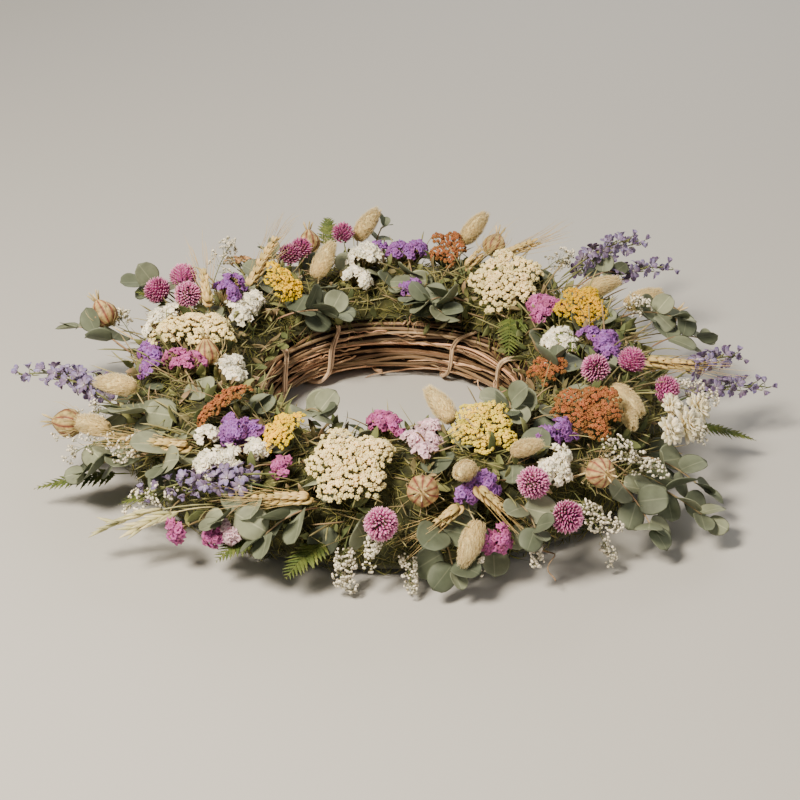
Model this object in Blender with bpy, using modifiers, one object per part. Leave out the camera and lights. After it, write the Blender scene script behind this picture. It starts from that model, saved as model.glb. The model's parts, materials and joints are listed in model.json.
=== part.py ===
"""Harvest door wreath: a wound grapevine ring, bound and mossed, and set with dried flowers and leaves.

The wreath lies on its back. The origin is on the table at the middle of the ring, +Z is the flower side and
+Y is the top of the wreath when it hangs on a door. Places on the vine ring are (angle, radius, height), in
metres, with the angle in degrees about +Z from +X. Places of flowers are (angle, slope, rise): the same angle,
then degrees up round the moss's rounded section from its outer side, then millimetres off the moss.
"""

import math

import bmesh
import bpy
from mathutils import Matrix, Vector

# ---------------------------------------------------------------- driving dimensions
GAP = 0.0003                # between two pieces that touch
COLLECTION = "harvest_door_wreath"

VINE_INNER_RADIUS = 0.106   # inside of the vine ring
HOOP_WIDTH = 0.035          # one wound bundle of vine, across the ring
HOOP_HEIGHT = 0.020
HOOP_ROW_GAP = 0.0024       # the hanger wire passes between the lower and the upper bundles
HOOP_FLAT = 0.45            # share of a bundle's width that is pressed flat

BINDING_RADIUS = 0.0022     # the thinner vine wound round the inner bundles
WRAPS = 12                  # turns of binding vine round the whole ring
BINDING_LENGTHS = 3         # separate lengths of binding vine
BINDING_BREAK = 10.0        # degrees left free between two lengths
WRAP_START = 95.0           # angle of the first turn, beside the hanger

MOSS_SETBACK = 0.0176       # the moss's rounded section is centred this far in from the vines' outside
MOSS_CENTRE_HEIGHT = 0.020
MOSS_HALF_WIDTH = 0.057
MOSS_THICKNESS = 0.024      # over the top of the vines
MOSS_SKIRT_HEIGHT = 0.008   # underside of the moss outside the vines

HANGER_ANGLE = 90.0
HANGER_WIRE_RADIUS = 0.0008
RING_WIRE_RADIUS = 0.0011   # the steel hanging ring
RING_HALF_WIDTH = 0.011
RING_LENGTH = 0.020
EYE_CLEARANCE = 0.00035     # between the hanging ring's bar and its eye

STEM_RADIUS = 0.0012
RING_STEPS = 24             # facets round the big rings
FACET = math.cos(math.pi / RING_STEPS)  # a facet's middle is nearer the axis than its corners by this

# ---------------------------------------------------------------- worked-out dimensions
BINDING_ROOM = 2 * (BINDING_RADIUS + GAP)
INNER_LOW = BINDING_ROOM + GAP
INNER_COLUMN_OUTSIDE = VINE_INNER_RADIUS + HOOP_WIDTH
OUTER_COLUMN_RADIUS = (INNER_COLUMN_OUTSIDE + BINDING_ROOM + GAP) / FACET
VINE_OUTER_RADIUS = OUTER_COLUMN_RADIUS + HOOP_WIDTH
INNER_HIGH = INNER_LOW + HOOP_HEIGHT + HOOP_ROW_GAP
OUTER_HIGH = HOOP_HEIGHT + HOOP_ROW_GAP
MOSS_CENTRE_RADIUS = VINE_OUTER_RADIUS - MOSS_SETBACK
MOSS_UNDERSIDE = INNER_HIGH + HOOP_HEIGHT + BINDING_ROOM + GAP
MOSS_HALF_HEIGHT = MOSS_UNDERSIDE + MOSS_THICKNESS - MOSS_CENTRE_HEIGHT
EYE_RADIUS = RING_WIRE_RADIUS + EYE_CLEARANCE + HANGER_WIRE_RADIUS
EYE_HEIGHT = EYE_RADIUS + HANGER_WIRE_RADIUS + GAP
HANGER_TAIL_RADIUS = VINE_OUTER_RADIUS + HANGER_WIRE_RADIUS + GAP
EYE_CENTRE_RADIUS = HANGER_TAIL_RADIUS + EYE_RADIUS
MOSS_WALL_RADIUS = (HANGER_TAIL_RADIUS + 2 * HANGER_WIRE_RADIUS) / FACET

# ---------------------------------------------------------------- finishes: colour, roughness, metallic
FINISHES = {
    "vine_bark": ((0.23, 0.13, 0.075), 0.85, 0.0),
    "binding_bark": ((0.36, 0.24, 0.14), 0.8, 0.0),
    "moss": ((0.20, 0.23, 0.06), 0.95, 0.0),
    "steel": ((0.45, 0.45, 0.46), 0.35, 1.0),
    "cream_yarrow": ((0.74, 0.66, 0.46), 0.9, 0.0),
    "yellow_yarrow": ((0.62, 0.40, 0.06), 0.9, 0.0),
    "rust_yarrow": ((0.50, 0.21, 0.10), 0.9, 0.0),
    "globe_pink": ((0.52, 0.15, 0.38), 0.75, 0.0),
    "bunny_tail": ((0.62, 0.50, 0.33), 0.95, 0.0),
    "wheat": ((0.62, 0.49, 0.27), 0.7, 0.0),
    "seed_pod": ((0.50, 0.36, 0.22), 0.7, 0.0),
    "purple_statice": ((0.30, 0.18, 0.58), 0.85, 0.0),
    "pink_statice": ((0.55, 0.20, 0.48), 0.85, 0.0),
    "white_statice": ((0.80, 0.76, 0.66), 0.85, 0.0),
    "larkspur": ((0.33, 0.30, 0.55), 0.8, 0.0),
    "eucalyptus": ((0.30, 0.36, 0.28), 0.65, 0.0),
    "fern": ((0.16, 0.24, 0.07), 0.75, 0.0),
}


def clear_scene():
    for obj in list(bpy.data.objects):
        bpy.data.objects.remove(obj, do_unlink=True)


def collection(name):
    made = bpy.data.collections.new(name)
    bpy.context.scene.collection.children.link(made)
    return made


clear_scene()
PARTS = collection(COLLECTION)
CUTTERS = collection("joining_shapes")


def finish_of(name):
    """The Principled material of that name, made once."""
    material = bpy.data.materials.get(name)
    if material is None:
        colour, roughness, metallic = FINISHES[name]
        material = bpy.data.materials.new(name)
        material.use_nodes = True
        shader = material.node_tree.nodes["Principled BSDF"]
        shader.inputs["Base Color"].default_value = (*colour, 1.0)
        shader.inputs["Roughness"].default_value = roughness
        shader.inputs["Metallic"].default_value = metallic
    return material


def place(angle, radius, height):
    """The point at that angle and radius on the ring."""
    turn = math.radians(angle)
    return Vector((radius * math.cos(turn), radius * math.sin(turn), height))


def leaning(azimuth, tilt):
    """The unit direction tilted from +Z by tilt degrees, towards azimuth."""
    turn, lean = math.radians(azimuth), math.radians(tilt)
    return Vector((math.sin(lean) * math.cos(turn), math.sin(lean) * math.sin(turn), math.cos(lean)))


def side_of(direction):
    """A level direction square to the given one."""
    side = direction.cross(Vector((0, 0, 1)))
    return side.normalized() if side.length > 0.05 else Vector((1, 0, 0))


def add_part(name, data, finish):
    obj = bpy.data.objects.new(name, data)
    data.materials.append(finish_of(finish))
    PARTS.objects.link(obj)
    return obj


def tube_curve(name, points, radii, sides=8, closed=False):
    """A tube along the points whose radius changes from point to point."""
    curve = bpy.data.curves.new(name, "CURVE")
    curve.dimensions = "3D"
    curve.bevel_depth = 1.0
    curve.bevel_resolution = sides // 2 - 2
    curve.use_fill_caps = not closed
    spline = curve.splines.new("POLY")
    spline.points.add(len(points) - 1)
    spline.use_cyclic_u = closed
    for spot, point, radius in zip(spline.points, points, radii):
        spot.co = (*point, 1.0)
        spot.radius = radius
    return curve


def mesh_of_curve(name, curve):
    """The curve as a mesh whose caps are welded on, so that it can be joined."""
    guide = bpy.data.objects.new(name + "_guide", curve)
    CUTTERS.objects.link(guide)
    graph = bpy.context.evaluated_depsgraph_get()
    mesh = bpy.data.meshes.new_from_object(guide.evaluated_get(graph))
    bpy.data.objects.remove(guide, do_unlink=True)
    shape = bmesh.new()
    shape.from_mesh(mesh)
    bmesh.ops.remove_doubles(shape, verts=shape.verts, dist=1e-6)
    bmesh.ops.recalc_face_normals(shape, faces=shape.faces)
    shape.to_mesh(mesh)
    shape.free()
    return mesh


def joined(name, meshes, finish):
    """One solid made of the first mesh and the others, which overlap it."""
    obj = add_part(name, meshes[0], finish)
    for number, mesh in enumerate(meshes[1:]):
        other = bpy.data.objects.new(f"{name}_join_{number}", mesh)
        other.hide_render = True
        other.display_type = "WIRE"
        CUTTERS.objects.link(other)
        union = obj.modifiers.new(f"join_{number}", "BOOLEAN")
        union.operation = "UNION"
        union.solver = "EXACT"
        union.object = other
    return obj


# ---------------------------------------------------------------- the vine ring
def turned_ring(name, section, finish):
    """The closed section of (radius, height) points turned round the ring's axis."""
    shape = bmesh.new()
    corners = [shape.verts.new((radius, 0.0, height)) for radius, height in section]
    for first, second in zip(corners, corners[1:] + corners[:1]):
        shape.edges.new((first, second))
    mesh = bpy.data.meshes.new(name)
    shape.to_mesh(mesh)
    shape.free()
    obj = add_part(name, mesh, finish)
    screw = obj.modifiers.new("turn", "SCREW")
    screw.angle = 2 * math.pi
    screw.steps = screw.render_steps = RING_STEPS
    screw.use_merge_vertices = True
    screw.merge_threshold = 0.00001
    return obj


def hoop_section(inner, bottom):
    """A flattened oval, wider than high, with a flat top and underside; it runs down its outer side."""
    middle, half, flat = inner + HOOP_WIDTH / 2, HOOP_WIDTH / 2, HOOP_FLAT * HOOP_WIDTH / 2
    centre, rise = bottom + HOOP_HEIGHT / 2, HOOP_HEIGHT / 2
    shoulder = (half + flat) / 2 + 0.15 * half
    return [
        (middle + flat, centre + rise),
        (middle + shoulder, centre + rise * 0.62),
        (middle + half, centre),
        (middle + shoulder, centre - rise * 0.62),
        (middle + flat, centre - rise),
        (middle - flat, centre - rise),
        (middle - shoulder, centre - rise * 0.62),
        (middle - half, centre),
        (middle - shoulder, centre + rise * 0.62),
        (middle - flat, centre + rise),
    ]


def vine_hoops():
    turned_ring("vine_hoop_inner_low", hoop_section(VINE_INNER_RADIUS, INNER_LOW), "vine_bark")
    turned_ring("vine_hoop_inner_high", hoop_section(VINE_INNER_RADIUS, INNER_HIGH), "vine_bark")
    turned_ring("vine_hoop_outer_low", hoop_section(OUTER_COLUMN_RADIUS, 0.0), "vine_bark")
    turned_ring("vine_hoop_outer_high", hoop_section(OUTER_COLUMN_RADIUS, OUTER_HIGH), "vine_bark")


def wound_round(section, start, turns, angle_per_turn):
    """The points of a winding that goes round the section while it moves along the ring."""
    count = len(section)
    return [
        place(start + angle_per_turn * step / count, *section[step % count])
        for step in range(int(turns * count) + 1)
    ]


def binding_vines():
    """Lengths of thinner vine wound round the two inner bundles, up through the gap between the bundles."""
    reach = BINDING_RADIUS + GAP
    inner, outer = VINE_INNER_RADIUS * FACET - reach, INNER_COLUMN_OUTSIDE + reach
    low, high = INNER_LOW - reach, INNER_HIGH + HOOP_HEIGHT + reach
    corner = 0.006
    section = [
        (inner + corner, low),
        (outer - corner, low),
        (outer, low + corner),
        (outer, high - corner),
        (outer - corner, high),
        (inner + corner, high),
        (inner, high - corner),
        (inner, (low + high) / 2),
        (inner, low + corner),
    ]
    per_turn = 360.0 / WRAPS
    turns = WRAPS / BINDING_LENGTHS - BINDING_BREAK / per_turn
    for number in range(BINDING_LENGTHS):
        start = WRAP_START + number * 360.0 / BINDING_LENGTHS
        points = wound_round(section, start, turns, per_turn)
        name = f"binding_vine_{number + 1}"
        curve = tube_curve(name, points, [BINDING_RADIUS] * len(points), sides=6)
        add_part(name, curve, "binding_bark")


# ---------------------------------------------------------------- moss
def moss_spot(turn, lift=0.0):
    """(radius, height) on the moss collar's rounded surface, raised off it by lift."""
    across, up = math.cos(turn), math.sin(turn)
    return (
        MOSS_CENTRE_RADIUS + (MOSS_HALF_WIDTH + lift) * across,
        MOSS_CENTRE_HEIGHT + (MOSS_HALF_HEIGHT + lift) * up,
    )


def moss_turn_at(height):
    """The surface angle where the moss comes down to that height."""
    return math.asin((height - MOSS_CENTRE_HEIGHT) / MOSS_HALF_HEIGHT)


def moss_ends():
    """The surface angles of the moss's outer edge, at the skirt, and of its inner edge, over the vines."""
    return moss_turn_at(MOSS_SKIRT_HEIGHT), math.pi - moss_turn_at(MOSS_UNDERSIDE)


def planted(angle, slope, rise):
    """A place for a flower: slope degrees up round the moss from its outer side, rise millimetres off it."""
    return place(angle, *moss_spot(math.radians(slope), rise / 1000))


def moss_collar():
    outer, inner = moss_ends()
    steps = 8
    surface = [moss_spot(inner + (outer - inner) * step / steps) for step in range(steps + 1)]
    underside = [
        (MOSS_WALL_RADIUS, MOSS_SKIRT_HEIGHT),
        (MOSS_WALL_RADIUS, MOSS_UNDERSIDE),
    ]
    turned_ring("moss_collar", surface + underside, "moss")


# ---------------------------------------------------------------- hanger
def hanger_eye():
    """A wire closed round the outer upper bundle, with a tail that ends in an eye at the wreath's back."""
    reach = HANGER_WIRE_RADIUS + GAP
    inner, outer = OUTER_COLUMN_RADIUS - reach, HANGER_TAIL_RADIUS
    low, high = HOOP_HEIGHT + HOOP_ROW_GAP / 2, OUTER_HIGH + HOOP_HEIGHT + reach
    corner = 0.004
    loop = [
        (outer, low),
        (outer, high - corner),
        (outer - corner, high),
        (inner + corner, high),
        (inner, high - corner),
        (inner, low),
    ]
    loop_points = [place(HANGER_ANGLE, *spot) for spot in loop]
    closed_loop = tube_curve(
        "hanger_loop", loop_points, [HANGER_WIRE_RADIUS] * len(loop), sides=6, closed=True
    )
    tail_top, tail_low = place(HANGER_ANGLE, outer, low + corner), place(HANGER_ANGLE, outer, EYE_HEIGHT)
    tail = tube_curve("hanger_tail", [tail_top, tail_low], [HANGER_WIRE_RADIUS * 1.2] * 2, sides=6)
    eye_steps = 12
    eye_centre = place(HANGER_ANGLE, EYE_CENTRE_RADIUS, EYE_HEIGHT)
    eye_points = [
        eye_centre + Vector((0, EYE_RADIUS * math.cos(turn), EYE_RADIUS * math.sin(turn)))
        for turn in (2 * math.pi * step / eye_steps for step in range(eye_steps))
    ]
    eye = tube_curve("hanger_eye_ring", eye_points, [HANGER_WIRE_RADIUS] * eye_steps, sides=6, closed=True)
    meshes = [mesh_of_curve("hanger", curve) for curve in (closed_loop, tail, eye)]
    joined("hanger_eye", meshes, "steel")


def hanger_ring():
    """A D-shaped steel ring whose straight bar turns in the eye. It lies flat, pointing to the wreath's top."""
    pivot = place(HANGER_ANGLE, EYE_CENTRE_RADIUS, EYE_HEIGHT)
    bend = 0.003
    half = RING_HALF_WIDTH
    outline = [(-half + bend, 0), (half - bend, 0), (half - 0.3 * bend, 0.3 * bend)]
    straight = RING_LENGTH - half
    arc_steps = 8
    outline += [
        (half * math.cos(turn), straight + half * math.sin(turn))
        for turn in (math.pi * step / arc_steps for step in range(arc_steps + 1))
    ]
    outline.append((-half + 0.3 * bend, 0.3 * bend))
    points = [Vector((x, y, 0)) for x, y in outline]
    curve = tube_curve("hanger_ring", points, [RING_WIRE_RADIUS] * len(points), sides=8, closed=True)
    ring = add_part("hanger_ring", curve, "steel")
    ring.location = pivot


# ---------------------------------------------------------------- flower heads
# Each profile is (share of the length from base to tip, share of the head's radius).
YARROW = [(0.0, 0.08), (0.35, 0.5), (0.62, 0.92), (0.8, 1.0), (0.93, 0.75), (1.0, 0.25)]
GLOBE = [(0.0, 0.3), (0.2, 0.8), (0.5, 1.0), (0.8, 0.8), (1.0, 0.25)]
BUNNY = [(0.0, 0.35), (0.12, 0.8), (0.35, 1.0), (0.65, 0.85), (0.88, 0.5), (1.0, 0.12)]
EAR = [(0.0, 0.3), (0.1, 0.9), (0.35, 1.0), (0.65, 0.95), (0.88, 0.65), (1.0, 0.15)]
POD = [(0.0, 0.3), (0.22, 0.85), (0.5, 1.0), (0.75, 0.7), (1.0, 0.12)]
TUFT = [(0.0, 0.2), (0.45, 0.55), (0.8, 1.0), (1.0, 0.8)]

YARROW_DEPTH = 0.48         # a yarrow head's height, as a share of its radius


def root_under(spot):
    """The point on the moss collar nearest below the spot, with the gap of two pieces that touch."""
    radius = math.hypot(spot.x, spot.y)
    turn = math.atan2(
        (spot.z - MOSS_CENTRE_HEIGHT) / MOSS_HALF_HEIGHT,
        (radius - MOSS_CENTRE_RADIUS) / MOSS_HALF_WIDTH,
    )
    outer, _ = moss_ends()
    where = moss_spot(max(turn, outer + 0.15), STEM_RADIUS + 4 * GAP)
    return place(math.degrees(math.atan2(spot.y, spot.x)), *where)


def head_curve(name, root, base, tip, radius, profile, sides):
    """A stem from the root to the head's base, and the head from its base to its tip, as one tube."""
    rise = base - root
    points, radii = [root], [STEM_RADIUS]
    if rise.length > 0.012:
        points.append(root + rise * 0.6)
        radii.append(STEM_RADIUS)
    axis = tip - base
    points += [base + axis * share for share, _ in profile]
    radii += [max(radius * part, STEM_RADIUS * 0.6) for _, part in profile]
    return tube_curve(name, points, radii, sides)


def flower(name, finish, heads, profile, sides=6):
    """Stems of one kind wired together: each head is (base, tip, radius). The first stem stands on the moss
    and the others start inside it, one above the other."""
    middle = sum((base for base, _, _ in heads), Vector()) / len(heads)
    root = root_under(middle)
    first_base = heads[0][0]
    curves = [
        head_curve(name, root.lerp(first_base, 0.18 * number), base, tip, radius, profile, sides)
        for number, (base, tip, radius) in enumerate(heads)
    ]
    if len(curves) == 1:
        add_part(name, curves[0], finish)
    else:
        joined(name, [mesh_of_curve(name, curve) for curve in curves], finish)


def yarrows():
    """Flat-topped yarrow heads: finish, then (middle of the top, head radius, lean azimuth, lean tilt)."""
    kinds = {
        "cream_yarrow": [
            ((177, 91, 20), 37, 90, 4),
            ((47, 106, 24), 35, 270, 32),
            ((261, 61, 21), 36, 275, 30),
        ],
        "yellow_yarrow": [
            ((133, 110, 25), 26, 350, 42),
            ((17, 90, 22), 24, 270, 30),
            ((242, 78, 19), 24, 190, 38),
            ((294, 87, 18), 29, 280, 32),
        ],
        "rust_yarrow": [
            ((74, 80, 21), 22, 300, 38),
            ((128, 46, 29), 16, 100, 20),
            ((222, 80, 19), 30, 160, 40),
            ((335, 112, 21), 18, 250, 30),
            ((320, 67, 23), 31, 275, 30),
        ],
    }
    for finish, heads in kinds.items():
        for number, (top, radius, azimuth, tilt) in enumerate(heads, 1):
            tip = planted(*top)
            base = tip - leaning(azimuth, tilt) * (radius / 1000 * YARROW_DEPTH)
            flower(f"{finish}_{number}", finish, [(base, tip, radius / 1000)], YARROW, 8)


def upright_heads(name, finish, spots, radius, profile, length):
    """Round heads that point away from the moss: each spot is the head's base."""
    heads = []
    for spot in spots:
        base = planted(*spot)
        outwards = (base - root_under(base)).normalized()
        heads.append((base, base + outwards * length, radius))
    flower(name, finish, heads, profile)


def globe_amaranths():
    """Round clover-like heads, wired in threes and twos."""
    bunches = {
        "globe_amaranth_left": [(156, 53, 21), (146, 51, 20), (159, 75, 13)],
        "globe_amaranth_right": [(337, 83, 9), (346, 67, 10), (343, 44, 15)],
        "globe_amaranth_front": [(268, 28, 22)],
        "globe_amaranth_front_right": [(296, 39, 20), (299, 22, 33)],
    }
    for name, spots in bunches.items():
        upright_heads(name, "globe_pink", spots, 0.0120, GLOBE, 0.023)


def spikes(finish, bunches, radius, profile):
    """Long heads: each bunch is a list of (base, tip) places."""
    for name, rows in bunches.items():
        heads = []
        for base, tip in rows:
            heads.append((planted(*base), planted(*tip), radius))
        flower(name, finish, heads, profile)


def bunny_tails():
    spikes("bunny_tail", {
        "bunny_tail_back": [((99, 52, 26), (94, 63, 53))],
        "bunny_tail_inner": [((118, 106, 12), (110, 96, 38))],
        "bunny_tail_back_right": [((73, 52, 26), (68, 60, 56))],
        "bunny_tail_right_back": [((33, 63, 12), (30, 50, 40)), ((26, 43, 22), (25, 35, 56))],
        "bunny_tail_left": [((203, 58, 18), (194, 39, 45)), ((203, 26, 30), (197, 21, 52))],
        "bunny_tail_front": [((286, 56, 17), (282, 49, 41)), ((285, 26, 28), (281, 9, 42))],
        "bunny_tail_right": [((336, 74, 12), (335, 55, 24)), ((333, 60, 14), (327, 44, 22))],
    }, 0.0100, BUNNY)


def wheat_ears():
    spikes("wheat", {
        "wheat_back": [((140, 90, 9), (125, 86, 49))],
        "wheat_left": [((224, 47, 14), (212, 30, 42))],
        "wheat_right": [((357, 54, 12), (357, 29, 50))],
        "wheat_front_left": [((255, 38, 23), (243, 31, 26))],
        "wheat_front": [((286, 40, 26), (277, 25, 19)), ((291, 38, 26), (288, 20, 26))],
    }, 0.0060, EAR)


def seed_pods():
    spikes("seed_pod", {
        "seed_pod_left": [((164, 30, 43), (162, 34, 68))],
        "seed_pod_front": [((276, 47, 14), (275, 41, 40))],
        "seed_pod_front_right": [((309, 35, 34), (307, 33, 59))],
        "seed_pod_right": [((23, 27, 34), (23, 23, 61))],
    }, 0.0115, POD)


def statices():
    """Papery clusters: each bunch lists tufts as (place of the tuft's top, lean azimuth, lean tilt)."""
    bunches = {
        "purple_statice_left": ("purple_statice", [(153, 95, 27), (148, 91, 27), (155, 89, 19)]),
        "purple_statice_back": ("purple_statice", [(90, 86, 20), (83, 80, 21), (84, 98, 19)]),
        "purple_statice_front_left": ("purple_statice", [(228, 102, 22), (234, 106, 22), (232, 66, 23)]),
        "pink_statice_left": ("pink_statice", [(200, 77, 17), (194, 78, 21), (197, 89, 20)]),
        "pink_statice_right": ("pink_statice", [(28, 108, 22), (20, 112, 22), (16, 122, 21)]),
        "pink_statice_front": ("pink_statice", [(266, 106, 22), (271, 94, 20), (274, 80, 19)]),
        "white_statice_back": ("white_statice", [(104, 85, 19), (97, 88, 21), (102, 97, 21)]),
        "white_statice_right": ("white_statice", [(355, 114, 22), (2, 116, 23), (358, 105, 20)]),
        "white_statice_left": ("white_statice", [(230, 54, 22), (236, 54, 22), (232, 42, 27)]),
    }
    depth = 0.016
    for name, (finish, tops) in bunches.items():
        heads = []
        for top in tops:
            tip = planted(*top)
            inwards = (root_under(tip) - tip).normalized()
            heads.append((tip + inwards * depth, tip, 0.0082))
        flower(name, finish, heads, TUFT)


# ---------------------------------------------------------------- sprays and leaves
def disc(centre, normal, radius, thickness):
    """A round leaf as a thin upright cylinder, turned to its normal."""
    shape = bmesh.new()
    bmesh.ops.create_cone(
        shape, cap_ends=True, segments=10, radius1=radius, radius2=radius * 0.94, depth=thickness
    )
    turn = normal.to_track_quat("Z", "Y").to_matrix().to_4x4()
    shape.transform(Matrix.Translation(centre) @ turn)
    mesh = bpy.data.meshes.new("leaf")
    shape.to_mesh(mesh)
    shape.free()
    return mesh


def bell(centre, direction, radius, length):
    """A small open-mouthed floret as a cone with its wide end outwards."""
    shape = bmesh.new()
    bmesh.ops.create_cone(
        shape, cap_ends=True, segments=6, radius1=radius * 0.25, radius2=radius, depth=length
    )
    turn = direction.to_track_quat("Z", "Y").to_matrix().to_4x4()
    shape.transform(Matrix.Translation(centre + direction * length * 0.45) @ turn)
    mesh = bpy.data.meshes.new("floret")
    shape.to_mesh(mesh)
    shape.free()
    return mesh


def spray_stem(base, tip, radius=STEM_RADIUS):
    root = root_under(base)
    points = [root, root.lerp(base, 0.7), base.lerp(tip, 0.15), tip]
    return mesh_of_curve("stem", tube_curve("stem", points, [radius] * 3 + [radius * 0.7], 6))


def larkspurs():
    """Loose spires with florets set alternately along a thin stem."""
    spires = {
        "larkspur_left": ((190, 39, 16), (181, 15, 94), 7),
        "larkspur_back_right": ((46, 46, 15), (48, 13, 133), 8),
        "larkspur_right": ((351, 22, 30), (0, 10, 92), 6),
    }
    for name, (start, end, florets) in spires.items():
        base, tip = planted(*start), planted(*end)
        along = (tip - base).normalized()
        across = side_of(along)
        meshes = [spray_stem(base, tip)]
        for number in range(florets):
            share = 0.22 + 0.74 * number / florets
            side = across if number % 2 else -across
            out = (side + along * 0.6 + Vector((0, 0, 0.35))).normalized()
            meshes.append(bell(base.lerp(tip, share), out, 0.0075 - 0.003 * share, 0.012))
        joined(name, meshes, "larkspur")


def eucalyptus_sprigs():
    """Silver-dollar eucalyptus: round leaves in pairs along a thin stem."""
    sprigs = {
        "eucalyptus_left": ((213, 26, 17), (204, 7, 69)),
        "eucalyptus_right": ((322, 22, 30), (325, 3, 76)),
        "eucalyptus_back": ((88, 125, 18), (62, 135, 23)),
    }
    thickness, droop = 0.0012, 0.25
    for name, (start, end) in sprigs.items():
        base, tip = planted(*start), planted(*end)
        along = (tip - base).normalized()
        across = side_of(along)
        upwards = across.cross(along).normalized()
        meshes = [spray_stem(base, tip)]
        for share, size in ((0.45, 0.0120), (0.9, 0.0105)):
            for side in (-1, 1):
                outwards = (across * side - upwards * droop).normalized()
                normal = (upwards + across * side * droop).normalized()
                meshes.append(disc(base.lerp(tip, share) + outwards * size * 0.88, normal, size, thickness))
        joined(name, meshes, "eucalyptus")


def fern_frond(name, base, tip, width):
    """A flat frond: a stalk, then leaflets that shorten towards the tip, cut from one outline."""
    length = (tip - base).length
    stalk, teeth, stalk_share = 0.0011, 7, 0.22
    right = [(stalk, 0.0)]
    for number in range(teeth):
        near = stalk_share + (1 - stalk_share) * number / teeth
        far = stalk_share + (1 - stalk_share) * (number + 0.55) / teeth
        reach = width * (1 - 0.85 * number / teeth)
        right += [(stalk, near * length), (reach, far * length)]
    outline = right + [(0.0, length)] + [(-x, y) for x, y in reversed(right)]
    curve = bpy.data.curves.new(name, "CURVE")
    curve.dimensions = "2D"
    curve.fill_mode = "BOTH"
    curve.extrude = 0.0006
    spline = curve.splines.new("POLY")
    spline.points.add(len(outline) - 1)
    spline.use_cyclic_u = True
    for spot, (x, y) in zip(spline.points, outline):
        spot.co = (x, y, 0, 1)
    along = (tip - base).normalized()
    across = side_of(along)
    turn = Matrix((across, along, across.cross(along))).transposed().to_4x4()
    frond = add_part(name, curve, "fern")
    frond.matrix_world = Matrix.Translation(base) @ turn


def fern_fronds():
    fern_frond("fern_left", planted(208, 5, 10), planted(203, -1, 84), 0.015)
    fern_frond("fern_right", planted(349, 11, 20), planted(352, -1, 78), 0.012)


vine_hoops()
binding_vines()
moss_collar()
hanger_eye()
hanger_ring()
yarrows()
globe_amaranths()
bunny_tails()
wheat_ears()
seed_pods()
statices()
larkspurs()
eucalyptus_sprigs()
fern_fronds()
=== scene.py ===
"""Looks of the harvest door wreath: every shoot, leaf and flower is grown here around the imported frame."""

import json
import math

import bpy
import numpy as np
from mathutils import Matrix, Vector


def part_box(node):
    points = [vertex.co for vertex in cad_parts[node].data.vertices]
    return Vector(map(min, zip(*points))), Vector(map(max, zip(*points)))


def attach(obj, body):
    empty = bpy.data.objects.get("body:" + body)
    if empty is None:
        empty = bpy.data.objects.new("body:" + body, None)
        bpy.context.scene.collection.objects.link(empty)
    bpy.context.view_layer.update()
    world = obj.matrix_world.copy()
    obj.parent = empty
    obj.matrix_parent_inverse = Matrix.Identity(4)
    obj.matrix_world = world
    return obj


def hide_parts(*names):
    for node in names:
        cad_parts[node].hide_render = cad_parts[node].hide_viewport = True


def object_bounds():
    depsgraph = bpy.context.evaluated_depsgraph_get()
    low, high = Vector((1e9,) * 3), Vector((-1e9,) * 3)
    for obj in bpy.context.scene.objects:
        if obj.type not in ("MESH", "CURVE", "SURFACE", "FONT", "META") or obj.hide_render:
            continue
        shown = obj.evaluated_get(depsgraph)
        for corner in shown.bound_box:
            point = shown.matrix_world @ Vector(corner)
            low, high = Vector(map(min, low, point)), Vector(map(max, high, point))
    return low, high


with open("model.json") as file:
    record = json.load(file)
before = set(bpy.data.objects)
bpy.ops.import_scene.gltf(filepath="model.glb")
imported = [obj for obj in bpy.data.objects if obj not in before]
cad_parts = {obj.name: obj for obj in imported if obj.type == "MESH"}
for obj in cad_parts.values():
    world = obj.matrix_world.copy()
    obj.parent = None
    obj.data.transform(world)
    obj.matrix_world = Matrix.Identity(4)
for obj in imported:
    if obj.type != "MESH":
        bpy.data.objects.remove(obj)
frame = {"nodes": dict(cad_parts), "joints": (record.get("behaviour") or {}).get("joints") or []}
cad_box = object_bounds()
chance = np.random.default_rng(1409)

# ------------------------------------------------------------ floor, light and camera
# A pale seamless floor under a soft key lamp, a weak fill, a lamp behind and a dim warm sky, as on a
# product table.
FLOOR_HALF = 6.0


def plain_finish(name, colour, roughness):
    """One plain colour and roughness, for the studio's floor only."""
    material = bpy.data.materials.new(name)
    material.use_nodes = True
    shader = material.node_tree.nodes["Principled BSDF"]
    shader.inputs["Base Color"].default_value = (*colour, 1.0)
    shader.inputs["Roughness"].default_value = roughness
    return material


floor_mesh = bpy.data.meshes.new("studio_floor")
floor_mesh.from_pydata(
    [(x * FLOOR_HALF, y * FLOOR_HALF, 0.0) for x, y in ((-1, -1), (1, -1), (1, 1), (-1, 1))],
    [],
    [(0, 1, 2, 3)],
)
floor_mesh.materials.append(plain_finish("pale_floor", (0.52, 0.515, 0.50), 0.9))
studio_floor = bpy.data.objects.new("studio_floor", floor_mesh)
bpy.context.scene.collection.objects.link(studio_floor)

sky = bpy.data.worlds.new("studio_sky")
sky.use_nodes = True
sky.node_tree.nodes["Background"].inputs["Color"].default_value = (1.0, 0.95, 0.88, 1.0)
sky.node_tree.nodes["Background"].inputs["Strength"].default_value = 0.22
bpy.context.scene.world = sky


def studio_lamp(name, place, size, watts, colour):
    """A square soft lamp at that place, aimed at the wreath's middle."""
    lamp = bpy.data.lights.new(name, "AREA")
    lamp.shape, lamp.size, lamp.energy, lamp.color = "SQUARE", size, watts, colour
    holder = bpy.data.objects.new(name, lamp)
    holder.location = place
    back = holder.location.normalized()
    holder.rotation_euler = back.to_track_quat("Z", "Y").to_euler()
    bpy.context.scene.collection.objects.link(holder)


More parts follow.
